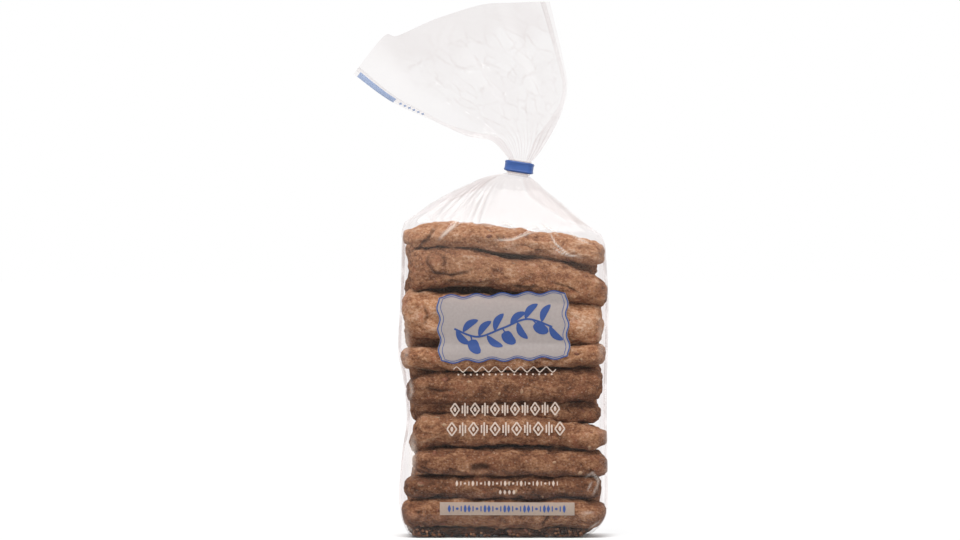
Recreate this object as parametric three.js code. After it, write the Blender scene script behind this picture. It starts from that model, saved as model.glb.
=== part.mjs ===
// A clear bag of almond biscuit sticks: a filled block-bottom bag that stands on its base,
// gathered to a neck above the biscuits, closed with a clip band, and fanned out to its mouth.
//
// Millimetres, +Z up. The origin is on the flat base, under the middle of the biscuits, and the
// front is at -Y. The bag is one solid, film and biscuits together, so its front and back bulge
// over each stick. It is a box of ACROSS x DEEP x RINGS cells whose layers are drawn out: through
// the body and the shoulders, through the clip, and up the fan.

import * as THREE from "three";

// ---- Driving dimensions ----------------------------------------------------------------------

const HALF_DEPTH = 25.6; // of the filled bag, between the bulges
const BULGE = 2.4; // how far a stick pushes the film out
const CORNER = 9; // radius of the bag's upright edges

const NECK = { x: 8.8, z: 212.9, halfWidth: 6.8, halfDepth: 3, lean: 9 }; // lean in degrees, to the right
const CLIP = { height: 6.4, thick: 0.9, gap: 0.3, overlap: 4.5, wireBulge: 0.35 };

// The cells of the loft.
const ACROSS = 24;
const DEEP = 8;
const BODY_RINGS = 38;
const SHOULDER_RINGS = 9;
const NECK_RINGS = 2;
const FAN_RINGS = 12;

// The filled body and its shoulders, from the base up: where the left and right edges stand, and
// how deep the bag is there, as a share of HALF_DEPTH.
const BODY_STATIONS = [
  { left: [-53, 0], right: [42, 0], deep: 0.84 },
  { left: [-55, 2], right: [50, 2], deep: 0.93 },
  { left: [-58.5, 11], right: [58, 11], deep: 1 },
  { left: [-60.2, 24], right: [59.8, 24], deep: 1 },
  { left: [-59, 47], right: [59.8, 47], deep: 1 },
  { left: [-56.4, 68], right: [59.5, 68], deep: 1 },
  { left: [-58.2, 91], right: [59.5, 91], deep: 1 },
  { left: [-61.2, 108], right: [60, 108], deep: 1 },
  { left: [-59.8, 137], right: [60.2, 137], deep: 1 },
  { left: [-59, 170], right: [58.6, 166], deep: 1 },
];
const SHOULDER_STATIONS = [
  { left: [-59, 170], right: [58.6, 166], deep: 1 },
  { left: [-56.4, 182], right: [55, 175], deep: 1 },
  { left: [-48.3, 190.5], right: [47.7, 183], deep: 0.86 },
  { left: [-33, 200.5], right: [35.7, 195], deep: 0.62 },
  { left: [-17, 207], right: [24, 204], deep: 0.36 },
];

// The sticks of the front and back rows, from the base up: height of the middle at each end, and
// thickness.
const FRONT_ROW = [
  { left: 14.3, right: 13.6, thick: 16 },
  { left: 29, right: 29.3, thick: 14 },
  { left: 43.6, right: 41.8, thick: 15.5 },
  { left: 61.8, right: 56.6, thick: 17.5 },
  { left: 84.8, right: 87.6, thick: 18.5 },
  { left: 104, right: 105.6, thick: 14 },
  { left: 129.5, right: 122, thick: 25 },
  { left: 155.8, right: 139.8, thick: 20.5 },
];
const BACK_ROW = [
  { left: 8, right: 7.8, thick: 15.5 },
  { left: 22.5, right: 23, thick: 14.5 },
  { left: 37.5, right: 38.3, thick: 16 },
  { left: 54.5, right: 55.5, thick: 18.5 },
  { left: 75, right: 75.5, thick: 21.5 },
  { left: 95.8, right: 94.6, thick: 19 },
  { left: 117, right: 114, thick: 22.5 },
  { left: 140.5, right: 136.5, thick: 23.5 },
  { left: 163.5, right: 158.5, thick: 22 },
];

// The fan's outline as (x, z): its side edges from the clip up, and its mouth from left to right.
const FAN_LEFT = [[-7, 228], [-22, 231], [-45, 241.3], [-66, 251], [-86.5, 266]];
const FAN_RIGHT = [[23.5, 225.5], [32.5, 242], [36.6, 259], [34, 276], [26.5, 308.4]];
const FAN_MOUTH = [
  [-86.5, 266], [-69.5, 288.4], [-62, 289.7], [-37, 297.6], [-12, 305.8], [5, 307.8], [26.5, 308.4],
];
const FAN = {
  puff: 5.5, // half the thickness where the film springs from the clip
  lip: 2, // and at the mouth
  ripple: 2.4, // height of the broad radial folds
  ripples: 3.2, // their number across the fan
  flap: -0.55, // where the left end bends forward at the mouth, from -1 at the left to 1 at the right
  fold: 14, // how far the left corner then stands forward
};

const SHOULDER_PLEATS = 10;
const PLEAT = 0.07; // share of the section's size

// ---- Small helpers ----------------------------------------------------------------------------

const { lerp, smoothstep, degToRad, clamp } = THREE.MathUtils;

const share = (across) => (across + 1) / 2; // -1..1 to 0..1

const direction = (degrees) => new THREE.Vector2(Math.cos(degToRad(degrees)), Math.sin(degToRad(degrees)));

// (x, y) on or in a rectangle of these half sizes, drawn in so that its corners have that radius.
function roundCorners(x, y, halfX, halfY, radius) {
  const coreX = clamp(x, radius - halfX, halfX - radius);
  const coreY = clamp(y, radius - halfY, halfY - radius);
  const out = Math.hypot(x - coreX, y - coreY);
  const keep = out > radius ? radius / out : 1;
  return [coreX + (x - coreX) * keep, coreY + (y - coreY) * keep];
}

// Splines through the stations, as a function of 0..1 that gives one station.
function stationsCurve(stations) {
  const edge = (side) => new THREE.SplineCurve(stations.map((s) => new THREE.Vector2(...s[side])));
  const left = edge("left");
  const right = edge("right");
  const deep = new THREE.SplineCurve(stations.map((s, i) => new THREE.Vector2(i, s.deep)));
  return (t) => ({ left: left.getPoint(t), right: right.getPoint(t), deep: deep.getPoint(t).y });
}

// ---- The bag ----------------------------------------------------------------------------------

const bodyAt = stationsCurve(BODY_STATIONS);
const BODY_TOP = BODY_STATIONS.at(-1);

// The share of a station list's length at which its left edge reaches this height.
function shareAtHeight(height) {
  let low = 0;
  let high = 1;
  for (let i = 0; i < 24; i += 1) {
    const middle = (low + high) / 2;
    if (bodyAt(middle).left.y < height) low = middle;
    else high = middle;
  }
  return low;
}

// How far the sticks of a row push the film out here, from 0 between two sticks to 1 on a crown.
function bulge(row, across, height) {
  const crowns = row.map((stick) => {
    const middle = lerp(stick.left, stick.right, share(across));
    const off = (height - middle) / (stick.thick / 2);
    return Math.max(0, 1 - off * off);
  });
  return Math.max(...crowns);
}

function sectionPoint(station, across, deep, radius, bulges) {
  const halfWidth = station.left.distanceTo(station.right) / 2;
  const halfDepth = HALF_DEPTH * station.deep;
  const round = Math.min(radius, halfDepth * 0.95, halfWidth * 0.95);
  const [x, y] = roundCorners(across * halfWidth, deep * halfDepth, halfWidth, halfDepth, round);
  const place = station.left.clone().lerp(station.right, share(x / halfWidth));
  const row = y < 0 ? FRONT_ROW : BACK_ROW;
  const push = BULGE * bulges * bulge(row, x / halfWidth, place.y) * (y / halfDepth);
  return new THREE.Vector3(place.x, y + push, place.y);
}

function bodyPoint(across, deep, t) {
  const height = BODY_TOP.left[1] * t;
  const station = bodyAt(shareAtHeight(height));
  const fade = smoothstep(height, 3, 12); // the base is flat
  return sectionPoint(station, across, deep, CORNER, fade);
}

const neckSide = direction(-NECK.lean);
const neckUp = direction(90 - NECK.lean);

// A point of the neck's section, this far up from the middle of the clip.
function neckPoint(across, deep, up) {
  const { halfWidth, halfDepth } = NECK;
  const [x, y] = roundCorners(across * halfWidth, deep * halfDepth, halfWidth, halfDepth, halfDepth * 0.98);
  const place = new THREE.Vector2(NECK.x, NECK.z).addScaledVector(neckSide, x).addScaledVector(neckUp, up);
  return new THREE.Vector3(place.x, y, place.y);
}

const CLIP_REACH = CLIP.height / 2 + 0.8; // the neck keeps its section a little past the clip

const shoulderAt = stationsCurve([
  ...SHOULDER_STATIONS,
  {
    left: neckPoint(-1, 0, -CLIP_REACH).toArray().filter((_, axis) => axis !== 1),
    right: neckPoint(1, 0, -CLIP_REACH).toArray().filter((_, axis) => axis !== 1),
    deep: NECK.halfDepth / HALF_DEPTH,
  },
]);

// The shoulders: the body's section shrinks to the neck's, with pleats that run to the clip.
function shoulderPoint(across, deep, t) {
  const station = shoulderAt(t);
  const point = sectionPoint(station, across, deep, lerp(CORNER, 14, t), 1 - smoothstep(t, 0, 0.35));
  const middle = station.left.clone().lerp(station.right, 0.5);
  const turn = Math.atan2(deep, across);
  const pleat = 1 + PLEAT * Math.sin(Math.PI * t) * Math.cos(SHOULDER_PLEATS * turn);
  point.x = middle.x + (point.x - middle.x) * lerp(1, pleat, 0.35);
  point.y *= pleat;
  return point;
}

// Where a line of the fan leaves the clip, as (x, z).
function fanRoot(side) {
  const root = neckPoint(side, 0, CLIP_REACH);
  return new THREE.Vector2(root.x, root.z);
}

const outline = (points) => new THREE.SplineCurve(points);
const corners = (points) => points.map(([x, z]) => new THREE.Vector2(x, z));
const fanLeft = outline([fanRoot(-1), ...corners(FAN_LEFT)]);
const fanRight = outline([fanRoot(1), ...corners(FAN_RIGHT)]);
const fanMouth = outline(corners(FAN_MOUTH));

// The (x, z) of the fan this far across it and up it: a Coons patch between its four edges.
function fanPlace(side, t) {
  const s = share(side);
  const left = fanLeft.getPointAt(t);
  const right = fanRight.getPointAt(t);
  const root = fanRoot(side);
  const mouth = fanMouth.getPointAt(s);
  const low = fanRoot(-1).lerp(fanRoot(1), s);
  const high = fanMouth.getPoint(0).lerp(fanMouth.getPoint(1), s);
  return left.lerp(right, s).add(root.lerp(mouth, t)).sub(low.lerp(high, t));
}

// The fan: two layers of film that spring apart at the clip, close towards the mouth, and ripple.
function fanPoint(across, deep, t) {
  const { halfWidth, halfDepth } = NECK;
  const [x, y] = roundCorners(across * halfWidth, deep * halfDepth, halfWidth, halfDepth, halfDepth * 0.98);
  const side = x / halfWidth;
  const place = fanPlace(side, t);
  const swell = lerp(halfDepth, FAN.puff, smoothstep(t, 0, 0.2));
  const half = lerp(swell, FAN.lip, smoothstep(t, 0.15, 1));
  const wave = Math.sin(Math.PI * (FAN.ripples * side + 0.7 * side * side));
  const ripple = FAN.ripple * smoothstep(t, 0.05, 0.6) * wave;
  const flap = lerp(-1.1, FAN.flap, smoothstep(t, 0.2, 1)); // lower down, the bend runs off the left edge
  const past = (flap - side) / (1 + FAN.flap);
  const fold = FAN.fold * t * 0.5 * (past + Math.hypot(past, 0.25)); // with a rounded crease
  return new THREE.Vector3(place.x, (y / halfDepth) * half + ripple - fold, place.y);
}

// The stretches of the loft, each with its number of rings and what places a point in it.
const STRETCHES = [
  { rings: BODY_RINGS, place: bodyPoint },
  { rings: SHOULDER_RINGS, place: shoulderPoint },
  { rings: NECK_RINGS, place: (across, deep, t) => neckPoint(across, deep, lerp(-CLIP_REACH, CLIP_REACH, t)) },
  { rings: FAN_RINGS, place: fanPoint },
];
const RINGS = STRETCHES.reduce((sum, stretch) => sum + stretch.rings, 0);

function bagPoint(across, deep, ring) {
  let first = 0;
  for (const { rings, place } of STRETCHES) {
    if (ring <= first + rings) return place(across, deep, (ring - first) / rings);
    first += rings;
  }
  throw new Error(`there is no ring ${ring}`);
}

function bagGeometry() {
  const geometry = new THREE.BoxGeometry(2, 2, RINGS, ACROSS, DEEP, RINGS);
  const cells = geometry.getAttribute("position");
  for (let i = 0; i < cells.count; i += 1) {
    const ring = Math.round(cells.getZ(i) + RINGS / 2);
    const point = bagPoint(cells.getX(i), cells.getY(i), ring);
    cells.setXYZ(i, point.x, point.y, point.z);
  }
  geometry.computeVertexNormals();
  return geometry;
}

// ---- The clip band ----------------------------------------------------------------------------

// The line that the strip follows: once round the neck, then on behind its own first end.
function clipPath() {
  const out = CLIP.gap + CLIP.thick / 2 + CLIP.wireBulge;
  const halfX = NECK.halfWidth + out;
  const halfY = NECK.halfDepth + out;
  const straight = halfX - halfY;
  const lap = CLIP.thick + 2 * CLIP.wireBulge + CLIP.gap; // the outer end lies this far behind the inner one
  const path = new THREE.CurvePath();
  const at = (x, y) => new THREE.Vector3(x, y, 0);
  const line = (from, to) => path.add(new THREE.LineCurve3(from, to));
  // A half turn round one end of the neck, from the back to the front or the other way.
  const bend = (side, radiusBack, radiusFront, fromBack) => {
    const points = [];
    for (let i = 0; i <= 8; i += 1) {
      const turn = (Math.PI * i) / 8;
      const radius = lerp(radiusBack, radiusFront, i / 8);
      points.push(at(side * (straight + halfY * Math.sin(turn)), radius * Math.cos(turn)));
    }
    path.add(new THREE.CatmullRomCurve3(fromBack ? points : points.reverse()));
  };
  line(at(CLIP.overlap, halfY), at(-straight, halfY));
  bend(-1, halfY, halfY, true);
  line(at(-straight, -halfY), at(straight, -halfY));
  bend(1, halfY + lap, halfY, false);
  line(at(straight, halfY + lap), at(-CLIP.overlap, halfY + lap));
  return path;
}

// The strip's section: a flat band with a wire along each long edge.
function clipSection() {
  const half = CLIP.height / 2;
  const thin = CLIP.thick / 2;
  const wire = CLIP.thick / 2 + CLIP.wireBulge;
  const upper = [[half, 0], [half - 0.3, wire], [half - 1.1, wire], [half - 1.6, thin], [1.6 - half, thin],
    [1.1 - half, wire], [0.3 - half, wire], [-half, 0]];
  const lower = upper.slice(1, -1).reverse().map(([x, y]) => [x, -y]);
  return new THREE.Shape([...upper, ...lower].map(([x, y]) => new THREE.Vector2(x, y)));
}

function clipGeometry() {
  return new THREE.ExtrudeGeometry(clipSection(), { steps: 44, extrudePath: clipPath() });
}

// ---- The object -------------------------------------------------------------------------------

const filledBag = new THREE.MeshStandardMaterial({ color: 0xcdb9a9, roughness: 0.25, metalness: 0 });
const bluePlastic = new THREE.MeshStandardMaterial({ color: 0x3f68b0, roughness: 0.4, metalness: 0 });

const bag = new THREE.Mesh(bagGeometry(), filledBag);
bag.name = "bag";

const clip = new THREE.Mesh(clipGeometry(), bluePlastic);
clip.name = "clip_band";
clip.position.set(NECK.x, 0, NECK.z);
clip.rotation.y = degToRad(NECK.lean);

const biscuitBag = new THREE.Group();
biscuitBag.add(bag, clip);

export default biscuitBag;
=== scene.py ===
"""A clear block-bottom bag of almond biscuit sticks, closed with a clip band and fanned out above it.

Lengths are in millimetres up to the moment a mesh is finished, which brings it to metres. The bag
stands on its base at the origin, +Z is up, the front is at -Y, and +X is to the right of the front.
"""

import math
import random
from bisect import bisect
from functools import partial
from typing import NamedTuple

import bmesh
import bpy
from mathutils import Matrix, Vector, noise


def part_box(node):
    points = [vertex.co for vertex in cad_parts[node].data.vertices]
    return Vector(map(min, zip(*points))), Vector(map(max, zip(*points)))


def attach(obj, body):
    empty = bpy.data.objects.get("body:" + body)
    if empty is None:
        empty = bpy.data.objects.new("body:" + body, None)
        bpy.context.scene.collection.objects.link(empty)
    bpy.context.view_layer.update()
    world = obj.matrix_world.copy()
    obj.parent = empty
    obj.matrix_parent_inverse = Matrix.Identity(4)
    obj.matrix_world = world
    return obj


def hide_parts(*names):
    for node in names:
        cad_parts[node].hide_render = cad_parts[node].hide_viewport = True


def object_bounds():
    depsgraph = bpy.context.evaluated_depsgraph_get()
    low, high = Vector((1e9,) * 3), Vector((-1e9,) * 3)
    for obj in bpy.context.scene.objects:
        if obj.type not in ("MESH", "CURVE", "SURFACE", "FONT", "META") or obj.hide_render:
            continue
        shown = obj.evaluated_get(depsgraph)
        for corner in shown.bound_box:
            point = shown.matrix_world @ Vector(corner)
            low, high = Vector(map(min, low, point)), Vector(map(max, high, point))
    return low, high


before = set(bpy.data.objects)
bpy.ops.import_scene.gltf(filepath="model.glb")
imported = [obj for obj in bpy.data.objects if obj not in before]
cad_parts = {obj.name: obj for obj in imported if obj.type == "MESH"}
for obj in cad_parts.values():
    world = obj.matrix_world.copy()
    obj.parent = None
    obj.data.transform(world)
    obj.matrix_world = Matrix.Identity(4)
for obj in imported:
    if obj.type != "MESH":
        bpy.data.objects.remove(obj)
CAD_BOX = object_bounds()

bl_info = {
    "name": "Bag of Biscuit Sticks",
    "version": (1, 0, 0),
    "blender": (4, 5, 0),
    "location": "View3D > Sidebar > Biscuit Bag",
    "description": "Makes a clear bag of almond biscuit sticks with its film, print and clip band",
    "category": "Add Mesh",
}

MM = 0.001
BODY = "root"

# ---- The bag's form ---------------------------------------------------------------------------

BULGE = 2.4  # how far a stick pushes the film out
HALF_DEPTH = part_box("bag")[1].y / MM - BULGE

# The filled body and its shoulders, from the base up: x and z of the left edge, x and z of the
# right edge, and the depth there as a share of the bag's half depth.
BODY_STATIONS = [
    (-53, 0, 42, 0, 0.84),
    (-55, 2, 50, 2, 0.93),
    (-58.5, 11, 58, 11, 1),
    (-60.2, 24, 59.8, 24, 1),
    (-59, 47, 59.8, 47, 1),
    (-56.4, 68, 59.5, 68, 1),
    (-58.2, 91, 59.5, 91, 1),
    (-61.2, 108, 60, 108, 1),
    (-59.8, 137, 60.2, 137, 1),
    (-59, 170, 58.6, 166, 1),
]
SHOULDER_STATIONS = [
    (-59, 170, 58.6, 166, 1),
    (-56.4, 182, 55, 175, 1),
    (-48.3, 190.5, 47.7, 183, 0.86),
    (-33, 200.5, 35.7, 195, 0.62),
    (-17, 207, 24, 204, 0.36),
]
BODY_HEIGHT = 170

NECK_X, NECK_Z, NECK_LEAN = 8.8, 212.9, 9  # the middle of the clip, and its lean to the right
NECK_HALF_WIDTH, NECK_HALF_DEPTH = 6.8, 3
CLIP_REACH = 4  # the neck keeps its section this far above and below the middle of the clip

# The largest corner radius of a section, as a share of half its depth or width.
NECK_ROUND, BODY_ROUND = 0.98, 0.95
OPEN_CORNER = 14  # the corner radius that the shoulders open to at the neck
SHOULDER_RINGS = 48

PRESSING = 2  # a stick set back less than this presses on the film
FLAT_BULGE = 0.68  # the share of the bulge that stays between two sticks
BULGE_RISE = 3, 12  # the bulges start and are full at these heights
BULGE_END = 0.35  # and are gone at this share of the shoulders

# The fan's outline as (x, z): its side edges from the clip up, and its mouth from left to right.
FAN_LEFT = [(-7, 228), (-22, 231), (-45, 241.3), (-66, 251), (-86.5, 266)]
FAN_RIGHT = [(23.5, 225.5), (32.5, 242), (36.6, 259), (34, 276), (26.5, 308.4)]
FAN_MOUTH = [
    (-86.5, 266), (-69.5, 288.4), (-61, 289), (-38, 299), (-14, 306.4), (5, 308), (26.5, 308.4),
]
FAN_PUFF, FAN_LIP = 5.5, 2  # half the thickness near the clip and at the mouth
FAN_RIPPLE, FAN_RIPPLES = 2.4, 3.2  # height and number of the broad radial folds
FAN_FLAP = -0.55  # where the left end bends forward at the mouth, from -1 at the left to 1 at the right
FAN_FOLD = 14  # how far the left corner then stands forward


class Stick(NamedTuple):
    """One biscuit stick. Heights and thicknesses are evenly spaced from its left end to its right one."""

    left: float
    right: float
    heights: tuple
    thick: tuple
    caps: tuple  # how long its two ends are rounded
    set_back: float  # how far it stays behind the film
    # Partly how it was baked and partly painted shade: the lower sticks of the front row are set darker,
    # where less light reaches them.
    tone: float  # lighter above 0, darker below


# The front row from the base up, as the sticks lie in the bag.
FRONT_ROW = [
    Stick(-51, 48, (4.2, 4.0, 4.1, 3.9, 4.2), (6.5, 7.0, 6.6, 7.2, 6.0), (6, 6), 5.5, -2.0),
    Stick(-59, 59, (14.3, 13.8, 13.7, 13.9, 13.6), (14.5, 16.2, 16.0, 16.4, 14.5), (8, 9), 0, 0.05),
    Stick(-57.5, 56.4, (29, 29.2, 28.8, 29, 29.3), (12.5, 13.8, 13.6, 13.4, 13.6), (9, 7), 1.5, -0.65),
    Stick(-51.5, 59, (43.6, 43.6, 43.2, 43.3, 41.8), (14.5, 16, 15.8, 15.6, 13.5), (12, 9), 0, -0.2),
    Stick(-52, 59, (61.8, 62, 61.2, 60, 56.6), (20.5, 19.5, 16.8, 16, 12), (8, 14), 0.5, 0.15),
    Stick(-52.5, 56, (75.4, 74.6, 73.4, 72.2, 71.2), (8, 9, 10.5, 12.5, 13.5), (9, 8), 8, 0.05),
    Stick(-55.2, 57, (85.2, 86, 86.6, 87.2, 87.6), (17.5, 20.2, 20, 19.4, 17), (10, 6), 0.5, -0.4),
    Stick(-59.2, 58.4, (103.6, 102.8, 103.2, 104, 105), (11.5, 14.4, 14.6, 14.4, 12.8), (8, 7), 0.5, 0.7),
    Stick(-57.4, 56.4, (129.5, 126.5, 124.5, 123.4, 122), (26, 26, 26, 25, 23), (6, 6), 0.3, 1.1),
    Stick(-55.2, 59, (154, 156.2, 151.4, 147.8, 139.8), (25, 23.2, 18.4, 21.4, 16), (6, 8), 0, 0.35),
    Stick(-58.4, 57.4, (172.2, 173.6, 170.4, 167.4, 162.6), (12.5, 15.6, 15.6, 15.4, 13), (17, 7), 3, 1.0),
]

# The back row is laid by a rule: its sticks' middle heights at both ends, and thickness.
BACK_ROW = [
    (8, 7.8, 15.5),
    (22.5, 23, 14.5),
    (37.5, 38.3, 16),
    (54.5, 55.5, 18.5),
    (75, 75.5, 21.5),
    (95.8, 94.6, 19),
    (117, 114, 22.5),
    (140.5, 136.5, 23.5),
    (163.5, 158.5, 22),
]


def lerp(low, high, t):
    return low + (high - low) * t


def smoothstep(low, high, value):
    t = min(max((value - low) / (high - low), 0.0), 1.0)
    return t * t * (3 - 2 * t)


def spline(points, t):
    """The point at share t of a smooth curve through these points, each a tuple of numbers."""
    last = len(points) - 1
    place = min(max(t, 0.0), 1.0) * last
    i = min(int(place), last - 1)
    w = place - i
    rows = points[max(i - 1, 0)], points[i], points[i + 1], points[min(i + 2, last)]
    found = []
    for a, b, c, d in zip(*rows):
        slope_b = (c - a) / 2
        slope_c = (d - b) / 2
        cubic = (2 * b - 2 * c + slope_b + slope_c) * w**3
        square = (-3 * b + 3 * c - 2 * slope_b - slope_c) * w**2
        found.append(cubic + square + slope_b * w + b)
    return tuple(found)


class EvenLine:
    """A smooth curve through these points, read by the share of its length."""

    STEPS = 200

    def __init__(self, points):
        self.points = points
        places = [spline(points, i / self.STEPS) for i in range(self.STEPS + 1)]
        self.gone = [0.0]
        for a, b in zip(places, places[1:]):
            self.gone.append(self.gone[-1] + math.dist(a, b))

    def at(self, share):
        wanted = share * self.gone[-1]
        i = min(max(bisect(self.gone, wanted) - 1, 0), self.STEPS - 1)
        part = (wanted - self.gone[i]) / (self.gone[i + 1] - self.gone[i])
        return spline(self.points, (i + part) / self.STEPS)


def line_reach(x, z, line):
    """How far this place is from a line of (x, z) points, and how far along the line that is, up to 1."""
    whole = sum(math.dist(a, b) for a, b in zip(line, line[1:]))
    nearest, share, gone = math.inf, 0.0, 0.0
    for a, b in zip(line, line[1:]):
        length = math.dist(a, b)
        along = ((x - a[0]) * (b[0] - a[0]) + (z - a[1]) * (b[1] - a[1])) / length
        held = min(max(along, 0.0), length)
        off = math.hypot(x - lerp(a[0], b[0], held / length), z - lerp(a[1], b[1], held / length))
        if off < nearest:
            nearest, share = off, (gone + held) / whole
        gone += length
    return nearest, share


def near_line(x, z, line, gap):
    """True where this place is within the box of the line, widened by this gap."""
    across = [point[0] for point in line]
    up = [point[1] for point in line]
    return min(across) - gap < x < max(across) + gap and min(up) - gap < z < max(up) + gap


def heading(degrees):
    return math.cos(math.radians(degrees)), math.sin(math.radians(degrees))


def round_corners(x, y, half_x, half_y, radius):
    """(x, y) drawn in so that a rectangle of these half sizes gets corners of that radius."""
    core_x = min(max(x, radius - half_x), half_x - radius)
    core_y = min(max(y, radius - half_y), half_y - radius)
    out = math.hypot(x - core_x, y - core_y)
    keep = radius / out if out > radius else 1
    return core_x + (x - core_x) * keep, core_y + (y - core_y) * keep


class Ring(NamedTuple):
    """One level ring of the filled bag or its shoulders."""

    left_x: float
    left_z: float
    right_x: float
    right_z: float
    half_depth: float
    corner: float
    bulges: float
    pleat: float

    def height_at(self, x):
        return lerp(self.left_z, self.right_z, (x - self.left_x) / (self.right_x - self.left_x))


def neck_point(across, deep, up):
    """A point of the neck's section, this far up from the middle of the clip."""
    half_width, half_depth = NECK_HALF_WIDTH, NECK_HALF_DEPTH
    corner = half_depth * NECK_ROUND
    x, y = round_corners(across * half_width, deep * half_depth, half_width, half_depth, corner)
    side = heading(-NECK_LEAN)
    rise = heading(90 - NECK_LEAN)
    return Vector((NECK_X + side[0] * x + rise[0] * up, y, NECK_Z + side[1] * x + rise[1] * up))


class BagForm:
    """The filled bag as a closed form: what the film follows, and what everything stays within."""

    def __init__(self, sizes):
        self.half_depth = sizes.half_depth / MM
        self.bulge_height = sizes.bulge / MM
        self.corner = sizes.corner / MM
        self.pressing = [
            (stick.heights[0], stick.heights[-1], sum(stick.thick) / len(stick.thick))
            for stick in FRONT_ROW
            if stick.set_back < PRESSING
        ]
        self.rings = [self.body_ring(height) for height in range(BODY_HEIGHT)]
        self.rings += [self.shoulder_ring(i / SHOULDER_RINGS) for i in range(SHOULDER_RINGS + 1)]

    def body_ring(self, height):
        low, high = 0.0, 1.0
        for _ in range(20):
            middle = (low + high) / 2
            if spline(BODY_STATIONS, middle)[1] < height:
                low = middle
            else:
                high = middle
        *edges, deep = spline(BODY_STATIONS, low)
        return Ring(*edges, self.half_depth * deep, self.corner, smoothstep(*BULGE_RISE, height), 0)

    def shoulder_ring(self, t):
        left = neck_point(-1, 0, -CLIP_REACH)
        right = neck_point(1, 0, -CLIP_REACH)
        last = (left.x, left.z, right.x, right.z, NECK_HALF_DEPTH / self.half_depth)
        *edges, deep = spline(SHOULDER_STATIONS + [last], t)
        corner = lerp(self.corner, OPEN_CORNER, t)
        bulges = 1 - smoothstep(0, BULGE_END, t)
        return Ring(*edges, self.half_depth * deep, corner, bulges, math.sin(math.pi * t))

    def bulge(self, y, across, height):
        """How far a row of sticks pushes the film out here. Between two sticks the film is stretched flat."""
        crown = 0.0
        for left, right, thick in self.pressing if y < 0 else BACK_ROW:
            off = (height - lerp(left, right, (across + 1) / 2)) / (thick / 2)
            crown = max(crown, 1 - off * off)
        return lerp(FLAT_BULGE, 1, crown) * self.bulge_height

    def point(self, ring, across, deep):
        """A point of the bag's surface, where across and deep run over the outline of a square."""
        half_width = (ring.right_x - ring.left_x) / 2
        half_depth = ring.half_depth
        corner = min(ring.corner, half_depth * BODY_ROUND, half_width * BODY_ROUND)
        x, y = round_corners(across * half_width, deep * half_depth, half_width, half_depth, corner)
        share = (x / half_width + 1) / 2
        height = lerp(ring.left_z, ring.right_z, share)
        y += ring.bulges * self.bulge(y, x / half_width, height) * y / half_depth
        return Vector((lerp(ring.left_x, ring.right_x, share), y, height))

    def ring_through(self, x, z):
        """The ring that passes through this place, from the two nearest ones."""
        i = bisect(self.rings, z, key=lambda ring: ring.height_at(x))
        i = min(max(i, 1), len(self.rings) - 1)
        low, high = self.rings[i - 1], self.rings[i]
        rise = high.height_at(x) - low.height_at(x)
        part = min(max((z - low.height_at(x)) / rise, 0.0), 1.0) if rise > 0 else 0.0
        return Ring(*(lerp(a, b, part) for a, b in zip(low, high)))

    def keep_inside(self, place, gap):
        """Draws a point in until it is this far inside the film."""
        ring = self.ring_through(place.x, place.z)
        middle = (ring.left_x + ring.right_x) / 2
        half_width = (ring.right_x - ring.left_x) / 2
        across = min(max((place.x - middle) / half_width, -1.0), 1.0)
        half_depth = ring.half_depth + ring.bulges * self.bulge(place.y, across, place.z) - gap
        half_width -= gap
        x = min(max(place.x - middle, -half_width), half_width)
        y = min(max(place.y, -half_depth), half_depth)
        corner = min(ring.corner, half_depth * BODY_ROUND, half_width * BODY_ROUND)
        x, y = round_corners(x, y, half_width, half_depth, corner)
        return Vector((middle + x, y, max(place.z, gap)))

    def front_film(self, x, z, lift):
        """A point this far outside the film of the front panel."""
        ring = self.ring_through(x, z)
        across = 2 * (x - ring.left_x) / (ring.right_x - ring.left_x) - 1
        place = Vector((x, -ring.half_depth - ring.bulges * self.bulge(-1, across, z), z))
        place.y -= front_rise(place)[0] + lift
        return place


# ---- Meshes and nodes -------------------------------------------------------------------------


def linear(code):
    """A colour given as sRGB hex, as the linear numbers that a shader takes."""
    parts = (int(code[i : i + 2], 16) / 255 for i in (1, 3, 5))
    return (*(p / 12.92 if p <= 0.04045 else ((p + 0.055) / 1.055) ** 2.4 for p in parts), 1.0)


def finish_mesh(bm, name, material, slot, *nodes):
    """Turns a bmesh in millimetres into a finished piece of the bag."""
    bmesh.ops.scale(bm, vec=(MM, MM, MM), verts=bm.verts)
    for face in bm.faces:
        face.smooth = True
    mesh = bpy.data.meshes.new(name)
    bm.to_mesh(mesh)
    bm.free()
    piece = bpy.data.objects.new(name, mesh)
    bpy.context.collection.objects.link(piece)
    mesh.materials.append(material)
    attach(piece, BODY)
    if nodes:
        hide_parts(*nodes)


def patch(bm, columns, rows, place):
    """Adds a grid whose point at share (u, v) stands at place(u, v)."""
    made = bmesh.ops.create_grid(bm, x_segments=columns, y_segments=rows, size=0.5)["verts"]
    for vert in made:
        vert.co = place(vert.co.x + 0.5, vert.co.y + 0.5)


def float_layers(bm, *names):
    """Adds a number to each vertex under each of these names, for the materials to read."""
    return [bm.verts.layers.float.new(name) for name in names]


def add_node(tree, kind, inputs=(), stops=(), **settings):
    """Adds a node with its settings, colour stops, and inputs as values or links. Gives its outputs.

    A Mix node takes two numbers at 2 and 3 and gives one at 0. Its colours are at 6, 7 and 2.
    """
    node = tree.nodes.new("ShaderNode" + kind)
    for name, value in settings.items():
        setattr(node, name, value)
    for key, value in dict(inputs).items():
        if isinstance(value, bpy.types.NodeSocket):
            tree.links.new(value, node.inputs[key])
        else:
            node.inputs[key].default_value = value
    for i, (position, colour) in enumerate(stops):
        elements = node.color_ramp.elements
        stop = elements[i] if i < len(elements) else elements.new(position)
        stop.position = position
        stop.color = colour
    return node.outputs


def new_material(name):
    """An empty material, the function that adds a node to it, and its place in the object's frame."""
    material = bpy.data.materials.new(name)
    material.use_nodes = True
    material.node_tree.nodes.clear()
    add = partial(add_node, material.node_tree)
    return material, add, add("TexCoord")["Object"]


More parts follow.
